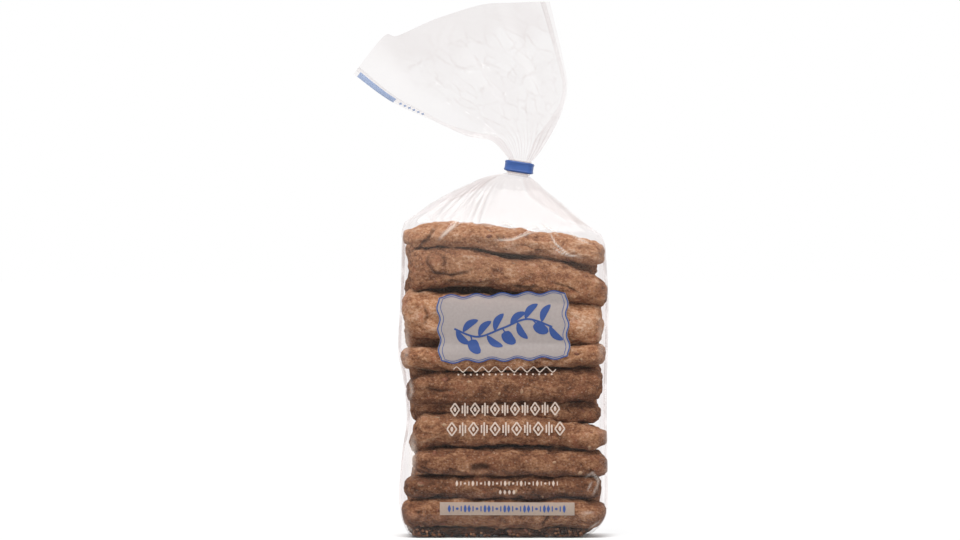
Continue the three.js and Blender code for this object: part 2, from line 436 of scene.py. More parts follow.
def per(size):
    """The scale of a texture on Object coordinates whose features are this many millimetres across."""
    return 1 / (size * MM)


# ---- Materials --------------------------------------------------------------------------------


def baked_dough(colours):
    """Baked almond dough, hand rolled: dry and matt, sandy to the eye, redder where it browned."""
    material, add, place = new_material("baked_almond_dough")
    relief, tone, scar = (add("Attribute", attribute_name=name)["Fac"] for name in ("relief", "tone", "scar"))
    # Rolling draws the dough out, so its mottling and grains are a little longer along the stick.
    rolled = add("Mapping", {"Vector": place, "Scale": (0.72, 1, 1)})[0]
    # Browning in patches of about 16 mm, mottling of about 4 mm, and sandy grains of about 1 mm.
    patches = add("TexNoise", {"Vector": place, "Scale": per(16), "Detail": 3, "Roughness": 0.6})["Fac"]
    mottle = add("TexNoise", {"Vector": rolled, "Scale": per(3.8), "Detail": 4, "Roughness": 0.65})["Fac"]
    grains = add("TexNoise", {"Vector": rolled, "Scale": per(1.2), "Detail": 2, "Roughness": 0.7})["Fac"]
    # Each stick was baked a little lighter or darker than the next; the same number also darkens the lower
    # sticks as painted shade, where less light reaches them.
    level = -0.46
    # The fine relief lightens the knobs and darkens the pores and fissures: painted shade in the hollows.
    for value, weight in ((patches, 0.45), (mottle, 0.5), (grains, 0.8), (relief, 0.16), (tone, 0.12)):
        level = add("Math", {0: value, 1: weight, 2: level}, operation="MULTIPLY_ADD")[0]
    doughs = colours.crust_deep, colours.crust_dark, colours.crust, colours.crust_pale
    crust = add("ValToRGB", {"Fac": level}, zip((0.05, 0.34, 0.56, 0.92), doughs))["Color"]
    # Where sugar browned, the crust is redder, in blots of about 8 mm.
    blots = add("TexNoise", {"Vector": place, "Scale": per(8), "Detail": 4, "Roughness": 0.7})["Fac"]
    browned = add("MapRange", {"Value": blots, "From Min": 0.52, "From Max": 0.72, "To Max": 0.55})[0]
    redder = add("Mix", {0: browned, 6: crust, 7: colours.crust_red}, data_type="RGBA")[2]
    # Coarse almond meal lies in the crust as pale specks, about 2 mm apart.
    meal = add("TexVoronoi", {"Vector": place, "Scale": per(2.1)})["Distance"]
    near_meal = {"Value": meal, "From Min": 0.1, "From Max": 0.3, "To Min": 0.28, "To Max": 0}
    specks = add("MapRange", near_meal)[0]
    mealy = add("Mix", {0: specks, 6: redder, 7: colours.crust_pale}, data_type="RGBA")[2]
    # A break in the crust is painted in the darkest colour: painted shade in the crack or pit.
    shaded_cracks = add("Mix", {0: scar, 6: mealy, 7: colours.crust_deep}, data_type="RGBA")[2]
    # That number also scales the colour, for the bake and the painted shade together.
    bake_and_shade_gain = add("Math", {0: tone, 1: 0.25, 2: 1.0}, operation="MULTIPLY_ADD")[0]
    baked_and_shaded = add("VectorMath", {0: shaded_cracks, "Scale": bake_and_shade_gain}, operation="SCALE")[0]
    grit = add("Bump", {"Height": grains, "Strength": 0.45, "Distance": 0.6 * MM})[0]
    lumps = add("Bump", {"Height": mottle, "Strength": 0.6, "Distance": 1.4 * MM, "Normal": grit})[0]
    finish = {"Base Color": baked_and_shaded, "Roughness": 0.9, "Specular IOR Level": 0.25, "Normal": lumps}
    add("OutputMaterial", {"Surface": add("BsdfPrincipled", finish)[0]})
    return material


def chopped_almond(colours):
    """Chopped almond: creamy where it is cut, brown where its skin is on."""
    material, add, place = new_material("chopped_almond")
    skin = add("TexNoise", {"Vector": place, "Scale": per(5), "Detail": 2})["Fac"]
    shade = add("ValToRGB", {"Fac": skin}, [(0.46, colours.almond_skin), (0.58, colours.almond)])["Color"]
    flesh = add("TexNoise", {"Vector": place, "Scale": per(0.8), "Detail": 2})["Fac"]
    grain = add("Bump", {"Height": flesh, "Strength": 0.4, "Distance": 0.3 * MM})[0]
    surface = add("BsdfPrincipled", {"Base Color": shade, "Roughness": 0.7, "Normal": grain})[0]
    add("OutputMaterial", {"Surface": surface})
    return material


def polypropylene_film(name, colours, milk_and_glare_colour):
    """Cast polypropylene film: clear and glossy, greyer where it lies double, with painted shade on its folds
    and facets, and milky in a sharp crease, which is also painted highlight.
    """
    material, add, place = new_material(name)
    crease, double, crumple = (
        add("Attribute", attribute_name=kind)["Fac"] for kind in ("crease", "double", "crumple")
    )
    crinkle = add("TexNoise", {"Vector": place, "Scale": per(8), "Detail": 3, "Roughness": 0.6})["Fac"]
    # Crumpled film is a net of facets of about 12 mm. It lies on the flat film, so where the film is
    # gathered the facets are drawn out towards the clip. Only some folds between them are sharp.
    flat = add("UVMap", uv_map="flat")["UV"]
    warp = add("TexNoise", {"Vector": flat, "Scale": per(15), "Detail": 3})["Color"]
    bent = add("VectorMath", {0: warp, 1: (13 * MM, 13 * MM, 0), 2: flat}, operation="MULTIPLY_ADD")[0]
    net = {"Vector": bent, "Scale": per(12)}
    facets = add("TexVoronoi", net, voronoi_dimensions="2D")["Color"]
    edges = add("TexVoronoi", net, voronoi_dimensions="2D", feature="DISTANCE_TO_EDGE")["Distance"]
    # A sharp fold is drawn as a thin grey line in the film's tint: painted shade along the fold.
    near_fold = add("MapRange", {"Value": edges, "From Max": 0.11, "To Min": 1, "To Max": 0})[0]
    sharp = add("TexNoise", {"Vector": flat, "Scale": per(10), "Detail": 2})["Fac"]
    sharpness = add("MapRange", {"Value": sharp, "From Min": 0.44, "From Max": 0.68, "To Max": 0.36})[0]
    # Each facet is given its own painted shade, a little lighter or darker than the next, as if it faced the
    # room at its own slant.
    slant = add("SeparateXYZ", {0: facets})[0]
    facet_shade = add("Math", {0: slant, 1: 0.1}, operation="MULTIPLY")[0]
    folds = add("Math", {0: near_fold, 1: sharpness, 2: facet_shade}, operation="MULTIPLY_ADD")[0]
    darker = add("Math", {0: folds, 1: crumple, 2: double}, operation="MULTIPLY_ADD", use_clamp=True)[0]
    # A facet is flat in its middle and bends only near its folds.
    bending = add("Math", {0: edges, 1: 0.16}, operation="MINIMUM")[0]
    facet_height = add("Math", {0: bending, 1: crumple}, operation="MULTIPLY")[0]
    dents = add("Bump", {"Height": facet_height, "Strength": 0.5, "Distance": 2 * MM})[0]
    bump = add("Bump", {"Height": crinkle, "Strength": 0.3, "Distance": 0.7 * MM, "Normal": dents})[0]
    tint = add("Mix", {0: darker, 6: colours.film, 7: colours.film_double}, data_type="RGBA")[2]
    clear = add("BsdfTransparent", {"Color": tint})[0]
    gloss = add("BsdfGlossy", {"Color": (1, 1, 1, 1), "Roughness": 0.13, "Normal": bump})[0]
    # Both faces of a film send back some light, more where it is seen edge on, but it is so thin that
    # it is never a full mirror.
    edge_on = add("LayerWeight", {"Blend": 0.5, "Normal": bump})["Facing"]
    glance = add("Math", {0: edge_on, 1: 5}, operation="POWER")[0]
    share = add("Math", {0: glance, 1: 0.9, 2: 0.032}, operation="MULTIPLY_ADD")[0]
    held = add("Math", {0: share, 1: 0.2}, operation="MINIMUM")[0]
    skin = add("MixShader", {0: held, 1: clear, 2: gloss})[0]
    # The milk of a crease is partly the stress whitening of the film and partly painted highlight, for the
    # bright streaks that creases catch.
    milk_and_glare = add("BsdfDiffuse", {"Color": milk_and_glare_colour, "Normal": bump})[0]
    haze = add("Math", {0: crease, 1: 0.7, 2: 0.008}, operation="MULTIPLY_ADD", use_clamp=True)[0]
    add("OutputMaterial", {"Surface": add("MixShader", {0: haze, 1: skin, 2: milk_and_glare})[0]})
    return material


def printing_ink(name, colour, cover):
    """Flexographic ink on film: a thin even coat, a little see-through where it is thin."""
    material, add, place = new_material(name)
    wear = add("TexNoise", {"Vector": place, "Scale": per(1.5), "Detail": 3})["Fac"]
    thinned = {"Value": wear, "From Min": 0.3, "From Max": 0.7, "To Min": cover - 0.08, "To Max": cover}
    coat = add("MapRange", thinned)[0]
    relief = add("Bump", {"Height": wear, "Strength": 0.2, "Distance": 0.1 * MM})[0]
    ink = add("BsdfPrincipled", {"Base Color": colour, "Roughness": 0.45, "Normal": relief})[0]
    bare = add("BsdfTransparent")[0]
    add("OutputMaterial", {"Surface": add("MixShader", {0: coat, 1: bare, 2: ink})[0]})
    return material


def strip_plastic(colours):
    """Extruded polyethylene strip over two wires: satin, with faint lines along it and painted shade along
    its top edge.
    """
    material, add, place = new_material("extruded_blue_strip")
    rim_shade = add("Attribute", attribute_name="rim_shade")["Fac"]
    drawn = add("Mapping", {"Vector": place, "Scale": (0.2, 0.2, 3)})[0]
    lines = add("TexNoise", {"Vector": drawn, "Scale": per(2), "Detail": 3})["Fac"]
    shade = add("ValToRGB", {"Fac": lines}, [(0.35, colours.strip_dark), (0.65, colours.strip)])["Color"]
    # The top edge of the band is painted darker: painted shade along its rim.
    edge = add("Mix", {0: rim_shade, 6: shade, 7: colours.strip_rim_shade}, data_type="RGBA")[2]
    ribs = add("Bump", {"Height": lines, "Strength": 0.3, "Distance": 0.2 * MM})[0]
    surface = add("BsdfPrincipled", {"Base Color": edge, "Roughness": 0.42, "Normal": ribs})[0]
    add("OutputMaterial", {"Surface": surface})
    return material


# ---- The biscuit sticks -----------------------------------------------------------------------

# How far inside the film they stay: a crust, an almond, a crumb, and the middle of a crumb.
CRUST_GAP, ALMOND_GAP, CRUMB_GAP, CRUMB_MIDDLE_GAP = 0.45, 0.35, 0.4, 1.2
END_POWER = 0.7  # how bluntly a stick ends
TOP_POWER, BASE_POWER = 2.2, 3.0  # how square its section is: rounder on top, flatter below
ALMOND_SUNK = 0.15  # how deep an almond sits in the crust, as a share of its radius
CRUMB_HEAPS = ((-47, 5), (-47, 5), (38, 7), (0, 26))  # where the heaps lie along x, and their spread
FRONT_SHARE, FRONT_CRUMBS, CRUMB_REACH = 0.7, -22.5, 22  # the share at the front, and where along y


class Scar(NamedTuple):
    """A break in the crust of the front row: its line of (x, z) points, half width, depth, and the darkness
    of the painted shade in it.
    """

    line: tuple
    width: float
    deep: float
    dark: float


SCARS = [
    Scar(((-20.5, 39.8), (-14, 40.8), (-7.4, 40.2)), 1.9, 2.0, 0.9),
    Scar(((26, 14.2), (23.6, 10), (21.3, 6.4)), 0.55, 1.4, 1.0),
    Scar(((-38.6, 179.4), (-43.5, 171), (-50.3, 165.4)), 0.8, 1.5, 0.6),
    Scar(
        ((-41, 166.5), (-44.2, 158.1), (-40, 151.6), (-30, 150.1), (-20, 152.6), (-16.5, 157)), 0.8, 1.5, 0.7
    ),
    Scar(((-36, 162.4), (-33.6, 158), (-35.4, 154.6)), 0.7, 1.0, 0.5),
    Scar(((-36, 147.6), (-24, 146), (-8, 146.6)), 0.7, 1.1, 0.5),
    Scar(((4, 144.6), (11, 143.4), (20, 144.2)), 0.8, 1.3, 0.7),
    Scar(((26, 146.4), (36, 144), (45, 139.6)), 0.7, 1.1, 0.5),
    Scar(((-46, 133.6), (-44, 127.4), (-45.6, 120.6)), 0.7, 1.1, 0.5),
    Scar(((-47, 86.4), (-36, 84.2), (-27, 85.4)), 0.7, 1.0, 0.5),
]


def scar_at(place):
    """How deep the front crust is broken here in millimetres, and how dark the painted shade in the break is.
    """
    deep, shown = 0.0, 0.0
    for scar in SCARS:
        if near_line(place.x, place.z, scar.line, 3 * scar.width + 1):
            far, along = line_reach(place.x, place.z, scar.line)
            far += 0.5 * noise.noise(place / 3.1)
            ends = min(1.0, 5 * along, 5 * (1 - along))
            share = ends * (1 - smoothstep(0.3 * scar.width, 1.6 * scar.width, abs(far)))
            deep = max(deep, scar.deep * share)
            shown = max(shown, scar.dark * share)
    return deep, shown


def stretched(place, along, across):
    """A place in a noise whose features are this long along the stick and this wide across it."""
    return Vector((place.x / along, place.y / across, place.z / across))


def crust_relief(place, seed):
    """How far the crust stands out here, in millimetres: all of it, and its fine part alone."""
    p = place + Vector((seed * 37.1, seed * 11.3, seed * 5.9))
    broad = noise.fractal(stretched(p, 22, 13), 0.9, 2.1, 3) * 1.7
    knobs = noise.fractal(stretched(p, 7.5, 5.5), 0.8, 2.2, 2) * 0.95
    seam = abs(noise.noise(stretched(p, 13, 6))) + 0.07 * noise.noise(p / 1.8)
    split = smoothstep(0.12, 0.42, noise.noise(p / 19 + Vector((9.7, 2.2, 4.4))))
    fissure = -0.9 * split * (1 - smoothstep(0.0, 0.08, seam))
    pores = -0.5 * smoothstep(0.36, 0.64, noise.noise(p / 2.6 + Vector((1.1, 6.2, 3.3))))
    grit = noise.noise(stretched(p, 2.0, 1.7)) * 0.24
    fine = knobs + fissure + pores + grit
    return broad + fine, fine


class StickForm:
    """One stick in its place in the bag, with its rounded ends."""

    def __init__(self, bag, stick, name, row, depth, seed):
        self.bag, self.stick, self.name, self.row, self.depth, self.seed = bag, stick, name, row, depth, seed
        self.heights = [(height,) for height in stick.heights]
        self.thick = [(thick,) for thick in stick.thick]
        front = bag.half_depth + bag.bulge_height - stick.set_back - 0.5
        self.middle_y = row * (front - depth / 2)

    def place(self, a, b, c):
        """The place of a point of a box from -1 to 1 on the smooth stick."""
        stick = self.stick
        half_length = (stick.right - stick.left) / 2
        reach = max(abs(b), abs(c))  # 1 on the long sides, less on the ends
        cap = stick.caps[0] if a < 0 else stick.caps[1]
        travel = abs(a) * half_length if reach > 0.999 else half_length + (1 - reach) * cap
        straight = half_length - cap
        turn = min(max((travel - straight) / (2 * cap), 0.0), 1.0) * math.pi / 2
        x = travel if travel < straight else straight + cap * math.sin(turn)
        girth = math.cos(turn) ** END_POWER if turn < math.pi / 2 else 0.0
        angle = math.atan2(c, b)
        power = TOP_POWER if c > 0 else BASE_POWER
        radius = (abs(math.cos(angle)) ** power + abs(math.sin(angle)) ** power) ** (-1 / power)
        x = (stick.right + stick.left) / 2 + math.copysign(x, a)
        share = min(max((x - stick.left) / (stick.right - stick.left), 0.0), 1.0)
        y = math.cos(angle) * radius * girth * self.depth / 2
        z = math.sin(angle) * radius * girth * spline(self.thick, share)[0] / 2
        return Vector((x, self.middle_y + y, spline(self.heights, share)[0] + z))

    def crusted(self, place, normal):
        """That place on the crust, the fine relief there, and how dark the painted shade in a break is."""
        rise, fine = crust_relief(place, self.seed)
        shown = 0.0
        if self.row < 0 and place.y < self.middle_y:
            deep, shown = scar_at(place)
            rise -= deep
        return self.bag.keep_inside(place + normal * rise, CRUST_GAP), fine, shown


def all_sticks(bag, depth):
    """Every stick of the bag: the front row as it lies, and the back row laid by its rule."""
    # A stick that is set back from the film is a slimmer one, so that the two rows only just meet.
    sticks = [
        StickForm(bag, stick, f"front_stick_{i + 1}", -1, depth - stick.set_back, i + 1)
        for i, stick in enumerate(FRONT_ROW)
    ]
    chance = random.Random(7)
    for i, (left, right, thick) in enumerate(BACK_ROW):
        heights = tuple(lerp(left, right, t / 4) + chance.uniform(-0.6, 0.6) for t in range(5))
        widths = tuple(thick * chance.uniform(0.88, 1.0) for _ in range(5))
        ends = (chance.uniform(-57.5, -53), chance.uniform(53, 57.5))
        caps = (chance.uniform(6, 12), chance.uniform(6, 12))
        stick = Stick(*ends, heights, widths, caps, chance.uniform(0, 1.5), chance.uniform(-0.4, 0.3))
        sticks.append(StickForm(bag, stick, f"back_stick_{i + 1}", 1, depth, i + 31))
    return sticks


def stick_mesh(form, long_cells, short_cells):
    """A box cut into cells, drawn out to the stick and given its crust."""
    bm = bmesh.new()
    bmesh.ops.create_cube(bm, size=2)
    lengthwise = [e for e in bm.edges if abs(e.verts[0].co.x - e.verts[1].co.x) > 1]
    bmesh.ops.subdivide_edges(bm, edges=lengthwise, cuts=long_cells - 1)
    crosswise = [e for e in bm.edges if abs(e.verts[0].co.x - e.verts[1].co.x) < 1e-5]
    bmesh.ops.subdivide_edges(bm, edges=crosswise, cuts=short_cells - 1, use_grid_fill=True)
    for vert in bm.verts:
        vert.co = form.place(*vert.co)
    bm.normal_update()
    relief, tone, scar = float_layers(bm, "relief", "tone", "scar")
    normals = [vert.normal.copy() for vert in bm.verts]
    for vert, normal in zip(bm.verts, normals):
        vert.co, vert[relief], vert[scar] = form.crusted(vert.co, normal)
        vert[tone] = form.stick.tone
    return bm


def add_nugget(bm, place, radius, flat, turn, chance):
    """Adds a small craggy lump, flattened along its own axis, and returns its vertices."""
    made = bmesh.ops.create_icosphere(bm, subdivisions=1, radius=radius)["verts"]
    for vert in made:
        vert.co *= chance.uniform(0.75, 1.15)
        vert.co.z *= flat
        vert.co = turn @ vert.co + place
    return made


def almond_bits(bag, sticks, each_front, each_back):
    """Chopped almonds set in the crust of every stick."""
    bm = bmesh.new()
    chance = random.Random(11)
    for form in sticks:
        for _ in range(each_front if form.row < 0 else each_back):
            angle = chance.uniform(-0.45, 0.45) * math.pi
            b, c = form.row * math.cos(angle), math.sin(angle)
            grow = 1 / max(abs(b), abs(c))
            a = chance.uniform(-0.88, 0.88)
            ground = form.place(a, b * grow, c * grow)
            axis = form.place(a, 0.01 * b, 0.01 * c)
            out = (ground - Vector((ground.x, form.middle_y, axis.z))).normalized()
            spot = form.crusted(ground, out)[0]
            radius = chance.uniform(0.8, 1.7)
            turn = out.to_track_quat("Z", "X").to_matrix() @ Matrix.Rotation(chance.uniform(0, 3), 3, "Z")
            turn = turn @ Matrix.Diagonal((1.5, 0.9, 1))
            for vert in add_nugget(bm, spot - out * radius * ALMOND_SUNK, radius, 0.5, turn, chance):
                vert.co = bag.keep_inside(vert.co, ALMOND_GAP)
    return bm


def loose_crumbs(bag, count):
    """Crumbs fallen to the bottom of the bag, most of them in its two front corners."""
    bm = bmesh.new()
    tone = bm.verts.layers.float.new("tone")
    chance = random.Random(5)
    for _ in range(count):
        x = chance.gauss(*chance.choice(CRUMB_HEAPS))
        if chance.random() < FRONT_SHARE:
            y = FRONT_CRUMBS + chance.gauss(0, 1.6)
        else:
            y = chance.uniform(-CRUMB_REACH, CRUMB_REACH)
        place = bag.keep_inside(Vector((x, y, abs(chance.gauss(0.5, 2.2)))), CRUMB_MIDDLE_GAP)
        # This number is partly the crumb's bake and partly painted shade: most crumbs are darkened, as they
        # lie at the bottom of the bag where little light reaches.
        pale = chance.uniform(-2.9, 0.7)
        turn = Matrix.Rotation(chance.uniform(0, 6), 3, "X") @ Matrix.Rotation(chance.uniform(0, 6), 3, "Z")
        for vert in add_nugget(bm, place, chance.uniform(0.4, 1.4), 0.75, turn, chance):
            vert.co = bag.keep_inside(vert.co, CRUMB_GAP)
            vert[tone] = pale
    return bm


# ---- The film ---------------------------------------------------------------------------------

# The panels of the bag in the order in which the film runs round them: cells across each one, and
# where it starts and ends on the outline of a square.
PANELS = (
    (132, (-1, -1), (1, -1)),
    (44, (1, -1), (1, 1)),
    (132, (1, 1), (-1, 1)),
    (44, (-1, 1), (-1, -1)),
)
COLUMNS = sum(panel[0] for panel in PANELS)
BASE_ROWS, BODY_ROWS, SHOULDER_ROWS, NECK_ROWS, FAN_ROWS = 8, 150, 64, 6, 150
GUSSET = 25.7  # half the width of the side gusset
FILM_ROUND, BODY_FILM_HEIGHT, FAN_FILM_HEIGHT = 340, 250, 95  # the film laid flat

# The gathered film in the clip: its pleats, how much of the neck's section they fill, and how far
# they reach below and above the middle of the clip.
PLEATS, PLEAT_SPREAD, PLEAT_LOW, PLEAT_HIGH, PLEAT_ROWS = 9, 0.88, -5.2, 3.7, 6

SHOULDER_PLEATS, RIDGE_WIDTH = 13, 0.24  # for each half of a panel, and half a ridge's share of one
FAN_PLEATS = 8  # the pleats that run from the clip into each half of the fan
FILM_LIFT = 0.05  # how far the film lies above the ground
NECK_CREASE, NECK_DOUBLE = 0.2, 0.4  # how creased and how double the film round the neck is
PLEAT_CREASE, PLEAT_DOUBLE = 0.35, 0.05  # and the film gathered in the clip


class Crease(NamedTuple):
    """A sharp fold in the front film: the (x, z) of its ends and bends, its half width and strength."""

    line: tuple
    width: float
    strength: float


# The milk of these creases is partly stress whitening and partly painted highlight, the bright streaks where
# the film catches the light.
CREASES = [
    Crease(((-25.5, 184), (-29, 178.5), (-35, 173.4), (-38.5, 169.5)), 1.0, 0.8),
    Crease(((-24, 181), (-30.5, 176.6), (-37.5, 174.8)), 0.4, 0.6),
    Crease(((-8, 170.4), (4.6, 170.8), (15, 174.8), (22, 176)), 0.6, 0.9),
    Crease(((-3, 181), (3, 179.5), (8, 174.6)), 0.5, 0.6),
    Crease(((9, 172.8), (17, 177.6), (24, 179.6)), 0.35, 0.5),
    Crease(((22, 177), (26.4, 174.4), (29.4, 168.6), (36.4, 162.2), (46.5, 160.4)), 0.55, 0.9),
    Crease(((27, 167), (32, 163.6), (37, 161)), 0.45, 0.75),
    Crease(((19, 180.6), (28, 176), (33, 171)), 0.4, 0.6),
    Crease(((35, 176.4), (42, 171.6), (51.5, 167.6)), 0.45, 0.75),
    Crease(((-52.4, 62), (-52.2, 48), (-53, 33)), 1.7, 0.45),
    Crease(((-54, 92), (-52.6, 84), (-54.4, 78)), 0.9, 0.4),
    Crease(((-56.6, 126), (-55.4, 112), (-57, 96)), 1.5, 0.3),
    Crease(((54.6, 128), (55.8, 112), (54.8, 98)), 1.5, 0.25),
    Crease(((45.4, 34.5), (50.6, 37.4), (54, 33.4), (52.9, 26.5)), 0.6, 0.5),
    Crease(((47.5, 27), (50.5, 33)), 0.5, 0.45),
    Crease(((50.6, 24), (53.4, 31)), 0.5, 0.4),
    Crease(((41.6, 14), (52.6, 15)), 0.45, 0.4),
    Crease(((48, 5), (55, 10)), 0.5, 0.6),
    Crease(((-56.5, 8), (-51.5, 3)), 0.5, 0.6),
]


def around(u):
    """Where this share of the way round the bag lies on the outline of a square."""
    column = u * COLUMNS
    for cells, start, end in PANELS:
        if column <= cells + 1e-6:
            part = column / cells
            return lerp(start[0], end[0], part), lerp(start[1], end[1], part)
        column -= cells
    return PANELS[-1][2]


def film_grid(rows, height):
    """A grid that runs round the bag and up it, whose UV map is its place in metres on the flat film."""
    bm = bmesh.new()
    flat = bm.loops.layers.uv.new("flat")
    bmesh.ops.create_grid(bm, x_segments=COLUMNS, y_segments=rows, size=0.5)
    for face in bm.faces:
        for loop in face.loops:
            place = loop.vert.co
            loop[flat].uv = (place.x + 0.5) * FILM_ROUND * MM, (place.y + 0.5) * height * MM
    return bm


def crease_at(x, z):
    """The strength of the creases of the front film here, from 0 to 1."""
    found = 0.0
    for line, width, strength in CREASES:
        if near_line(x, z, line, 3 * width):
            off, along = line_reach(x, z, line)
            taper = min(1.0, 3 * along, 3 * (1 - along))
            found = max(found, strength * taper * math.exp(-((off / width) ** 2)))
    return found


def film_rise(place):
    """How far the stretched film stands out in shallow upright folds, in millimetres."""
    folds = 0.5 + 0.5 * noise.noise(Vector((place.x / 11, place.y / 11, place.z / 48)))
    fine = 1 + noise.noise(Vector((place.x / 3.4, place.y / 3.4, place.z / 9)) + Vector((5, 5, 5)))
    return (0.7 * folds * folds + 0.07 * fine) * smoothstep(0, 8, place.z)


def front_rise(place):
    """The same for the front panel, where sharp creases add to it, and how creased it is."""
    crease = crease_at(place.x, place.z)
    return film_rise(place) + 0.7 * crease, crease


def shoulder_pleat(across, deep, height):
    """The fine pleats that run from the clip to the corners: from 0 between them to 1 on a ridge."""
    way = across if abs(deep) >= abs(across) else math.copysign(1.0, across) + 0.3 * deep
    phase = SHOULDER_PLEATS * (way + 0.05 * noise.noise(Vector((way * 2.3, height / 22, deep))))
    ridge = max(0.0, 1 - abs(phase - math.floor(phase) - 0.5) / RIDGE_WIDTH)
    strength = smoothstep(-0.4, 0.2, noise.noise(Vector((math.floor(phase) * 7.3, height / 19, deep))))
    # The bag leans to the right, so the film is drawn tightest on its left side.
    return ridge * strength * lerp(1.0, 0.25, smoothstep(-0.6, 0.1, across))


def skin(bag, ring, across, deep):
    """A point of the film on the filled bag and its shoulders, how creased and how double it is."""
    place = bag.point(ring, across, deep)
    middle = (ring.left_x + ring.right_x) / 2
    half_width = (ring.right_x - ring.left_x) / 2
    corner = min(ring.corner, ring.half_depth, half_width)
    to_side = smoothstep(half_width - corner, half_width, abs(place.x - middle))
    to_face = smoothstep(ring.half_depth - corner, ring.half_depth, abs(place.y))
    out = Vector((math.copysign(to_side, place.x - middle), math.copysign(to_face, place.y), 0)).normalized()
    rise, crease = front_rise(place) if place.y < 0 else (film_rise(place), 0.0)
    # The loose film at the sides hangs in upright wrinkles, which look grey through one another.
    wrinkle = noise.noise(Vector((place.x / 1.9, place.y / 1.9, place.z / 55)))
    double = to_side * max(0.42 + 0.5 * wrinkle, 0.0) * ring.bulges
    # Over the top biscuits it is handled most, and is a little milky.
    crease = max(crease, 0.05 * smoothstep(135, 170, place.z) * ring.bulges)
    if ring.pleat > 0:
        ridge = shoulder_pleat(across, deep, place.z)
        rise += ring.pleat * 0.6 * (ridge - 0.2)
        double = max(double, lerp(0.22, 0.02, to_side) * (1 - ring.bulges) + 0.55 * ring.pleat * ridge)
    depth_share = min(abs(place.y) / ring.half_depth, 1.0)
    place += out * rise
    fold = min(math.sqrt(max(GUSSET**2 - ring.half_depth**2, 0.0)), 0.62 * half_width)
    fold *= smoothstep(12, 70, ring.left_z) * (1 - depth_share) * to_side
    place.x -= math.copysign(fold, place.x - middle)
    return place, crease, double


def body_film(bag):
    """The film from the seam under the base up to the clip."""
    rings = [bag.body_ring(0)] * BASE_ROWS
    rings += [bag.body_ring(i / BODY_ROWS * BODY_HEIGHT) for i in range(BODY_ROWS)]
    rings += [bag.shoulder_ring(i / SHOULDER_ROWS) for i in range(SHOULDER_ROWS)]
    rows = len(rings) + NECK_ROWS
    bm = film_grid(rows, BODY_FILM_HEIGHT)
    crease, double, crumple = float_layers(bm, "crease", "double", "crumple")
    for vert in bm.verts:
        row = round((vert.co.y + 0.5) * rows)
        across, deep = around(vert.co.x + 0.5)
        if row < len(rings):
            place, vert[crease], vert[double] = skin(bag, rings[row], across, deep)
            # The gussets are pleated in, so they stay smoother than the two panels.
            vert[crumple] = (0.6 if abs(deep) > 0.999 else 0.1) * rings[row].pleat
        else:
            place = neck_point(across, deep, lerp(-CLIP_REACH, CLIP_REACH, (row - len(rings)) / NECK_ROWS))
            vert[crease], vert[double] = NECK_CREASE, NECK_DOUBLE
        if row < BASE_ROWS:
            place.y *= row / BASE_ROWS
            place.z = 0
        place.z = max(place.z, FILM_LIFT)
        vert.co = place
    bmesh.ops.remove_doubles(bm, verts=bm.verts, dist=0.02)
    bmesh.ops.recalc_face_normals(bm, faces=bm.faces)
    return bm


def fan_root(side):
    """Where a line of the fan leaves the clip, as (x, z)."""
    root = neck_point(side, 0, CLIP_REACH)
    return root.x, root.z


LEFT_EDGE = EvenLine([fan_root(-1), *FAN_LEFT])
RIGHT_EDGE = EvenLine([fan_root(1), *FAN_RIGHT])
MOUTH_EDGE = EvenLine(FAN_MOUTH)


def fan_place(side, t):
    """The (x, z) of the fan this far across it and up it: a Coons patch between its four edges."""
    s = (side + 1) / 2
    edges = zip(
        LEFT_EDGE.at(t), RIGHT_EDGE.at(t), fan_root(side), MOUTH_EDGE.at(s),
        fan_root(-1), fan_root(1), FAN_MOUTH[0], FAN_MOUTH[-1],
    )
    return [
        lerp(left, right, s) + lerp(root, mouth, t) - lerp(lerp(low_l, low_r, s), lerp(high_l, high_r, s), t)
        for left, right, root, mouth, low_l, low_r, high_l, high_r in edges
    ]


def fan_depth(side, layer, t):
    """The depth of the fan's film, where layer runs from -1 on the front panel to 1 on the back one."""
    swell = lerp(NECK_HALF_DEPTH, FAN_PUFF, smoothstep(0, 0.2, t))
    half = lerp(swell, FAN_LIP, smoothstep(0.15, 1, t))
    edge = math.sqrt(max(1 - side**8, 0.0)) * 0.85 + 0.15
    wave = math.sin(math.pi * (FAN_RIPPLES * side + 0.7 * side * side))
    ripple = FAN_RIPPLE * smoothstep(0.05, 0.6, t) * wave
    flap = lerp(-1.1, FAN_FLAP, smoothstep(0.2, 1, t))
    past = (flap - side) / (1 + FAN_FLAP)
    fold = FAN_FOLD * t * 0.5 * (past + math.hypot(past, 0.25))  # with a rounded crease
    return layer * half * edge + ripple - fold


def crumpled(x, y, seed):
    """The height of crumpled film here, about 0 to 1: dishes with folds between them."""
    height = 0.0
    for size, weight, shift in ((23, 0.6, 0.0), (9, 0.4, 3.7)):
        bend = 0.25 * noise.noise(Vector((x / size, y / size, seed)))
        near = noise.voronoi(Vector((x / size + bend, y / (1.25 * size), seed + shift)))[0][0]
        height += 1.5 * weight * near * near
    return height


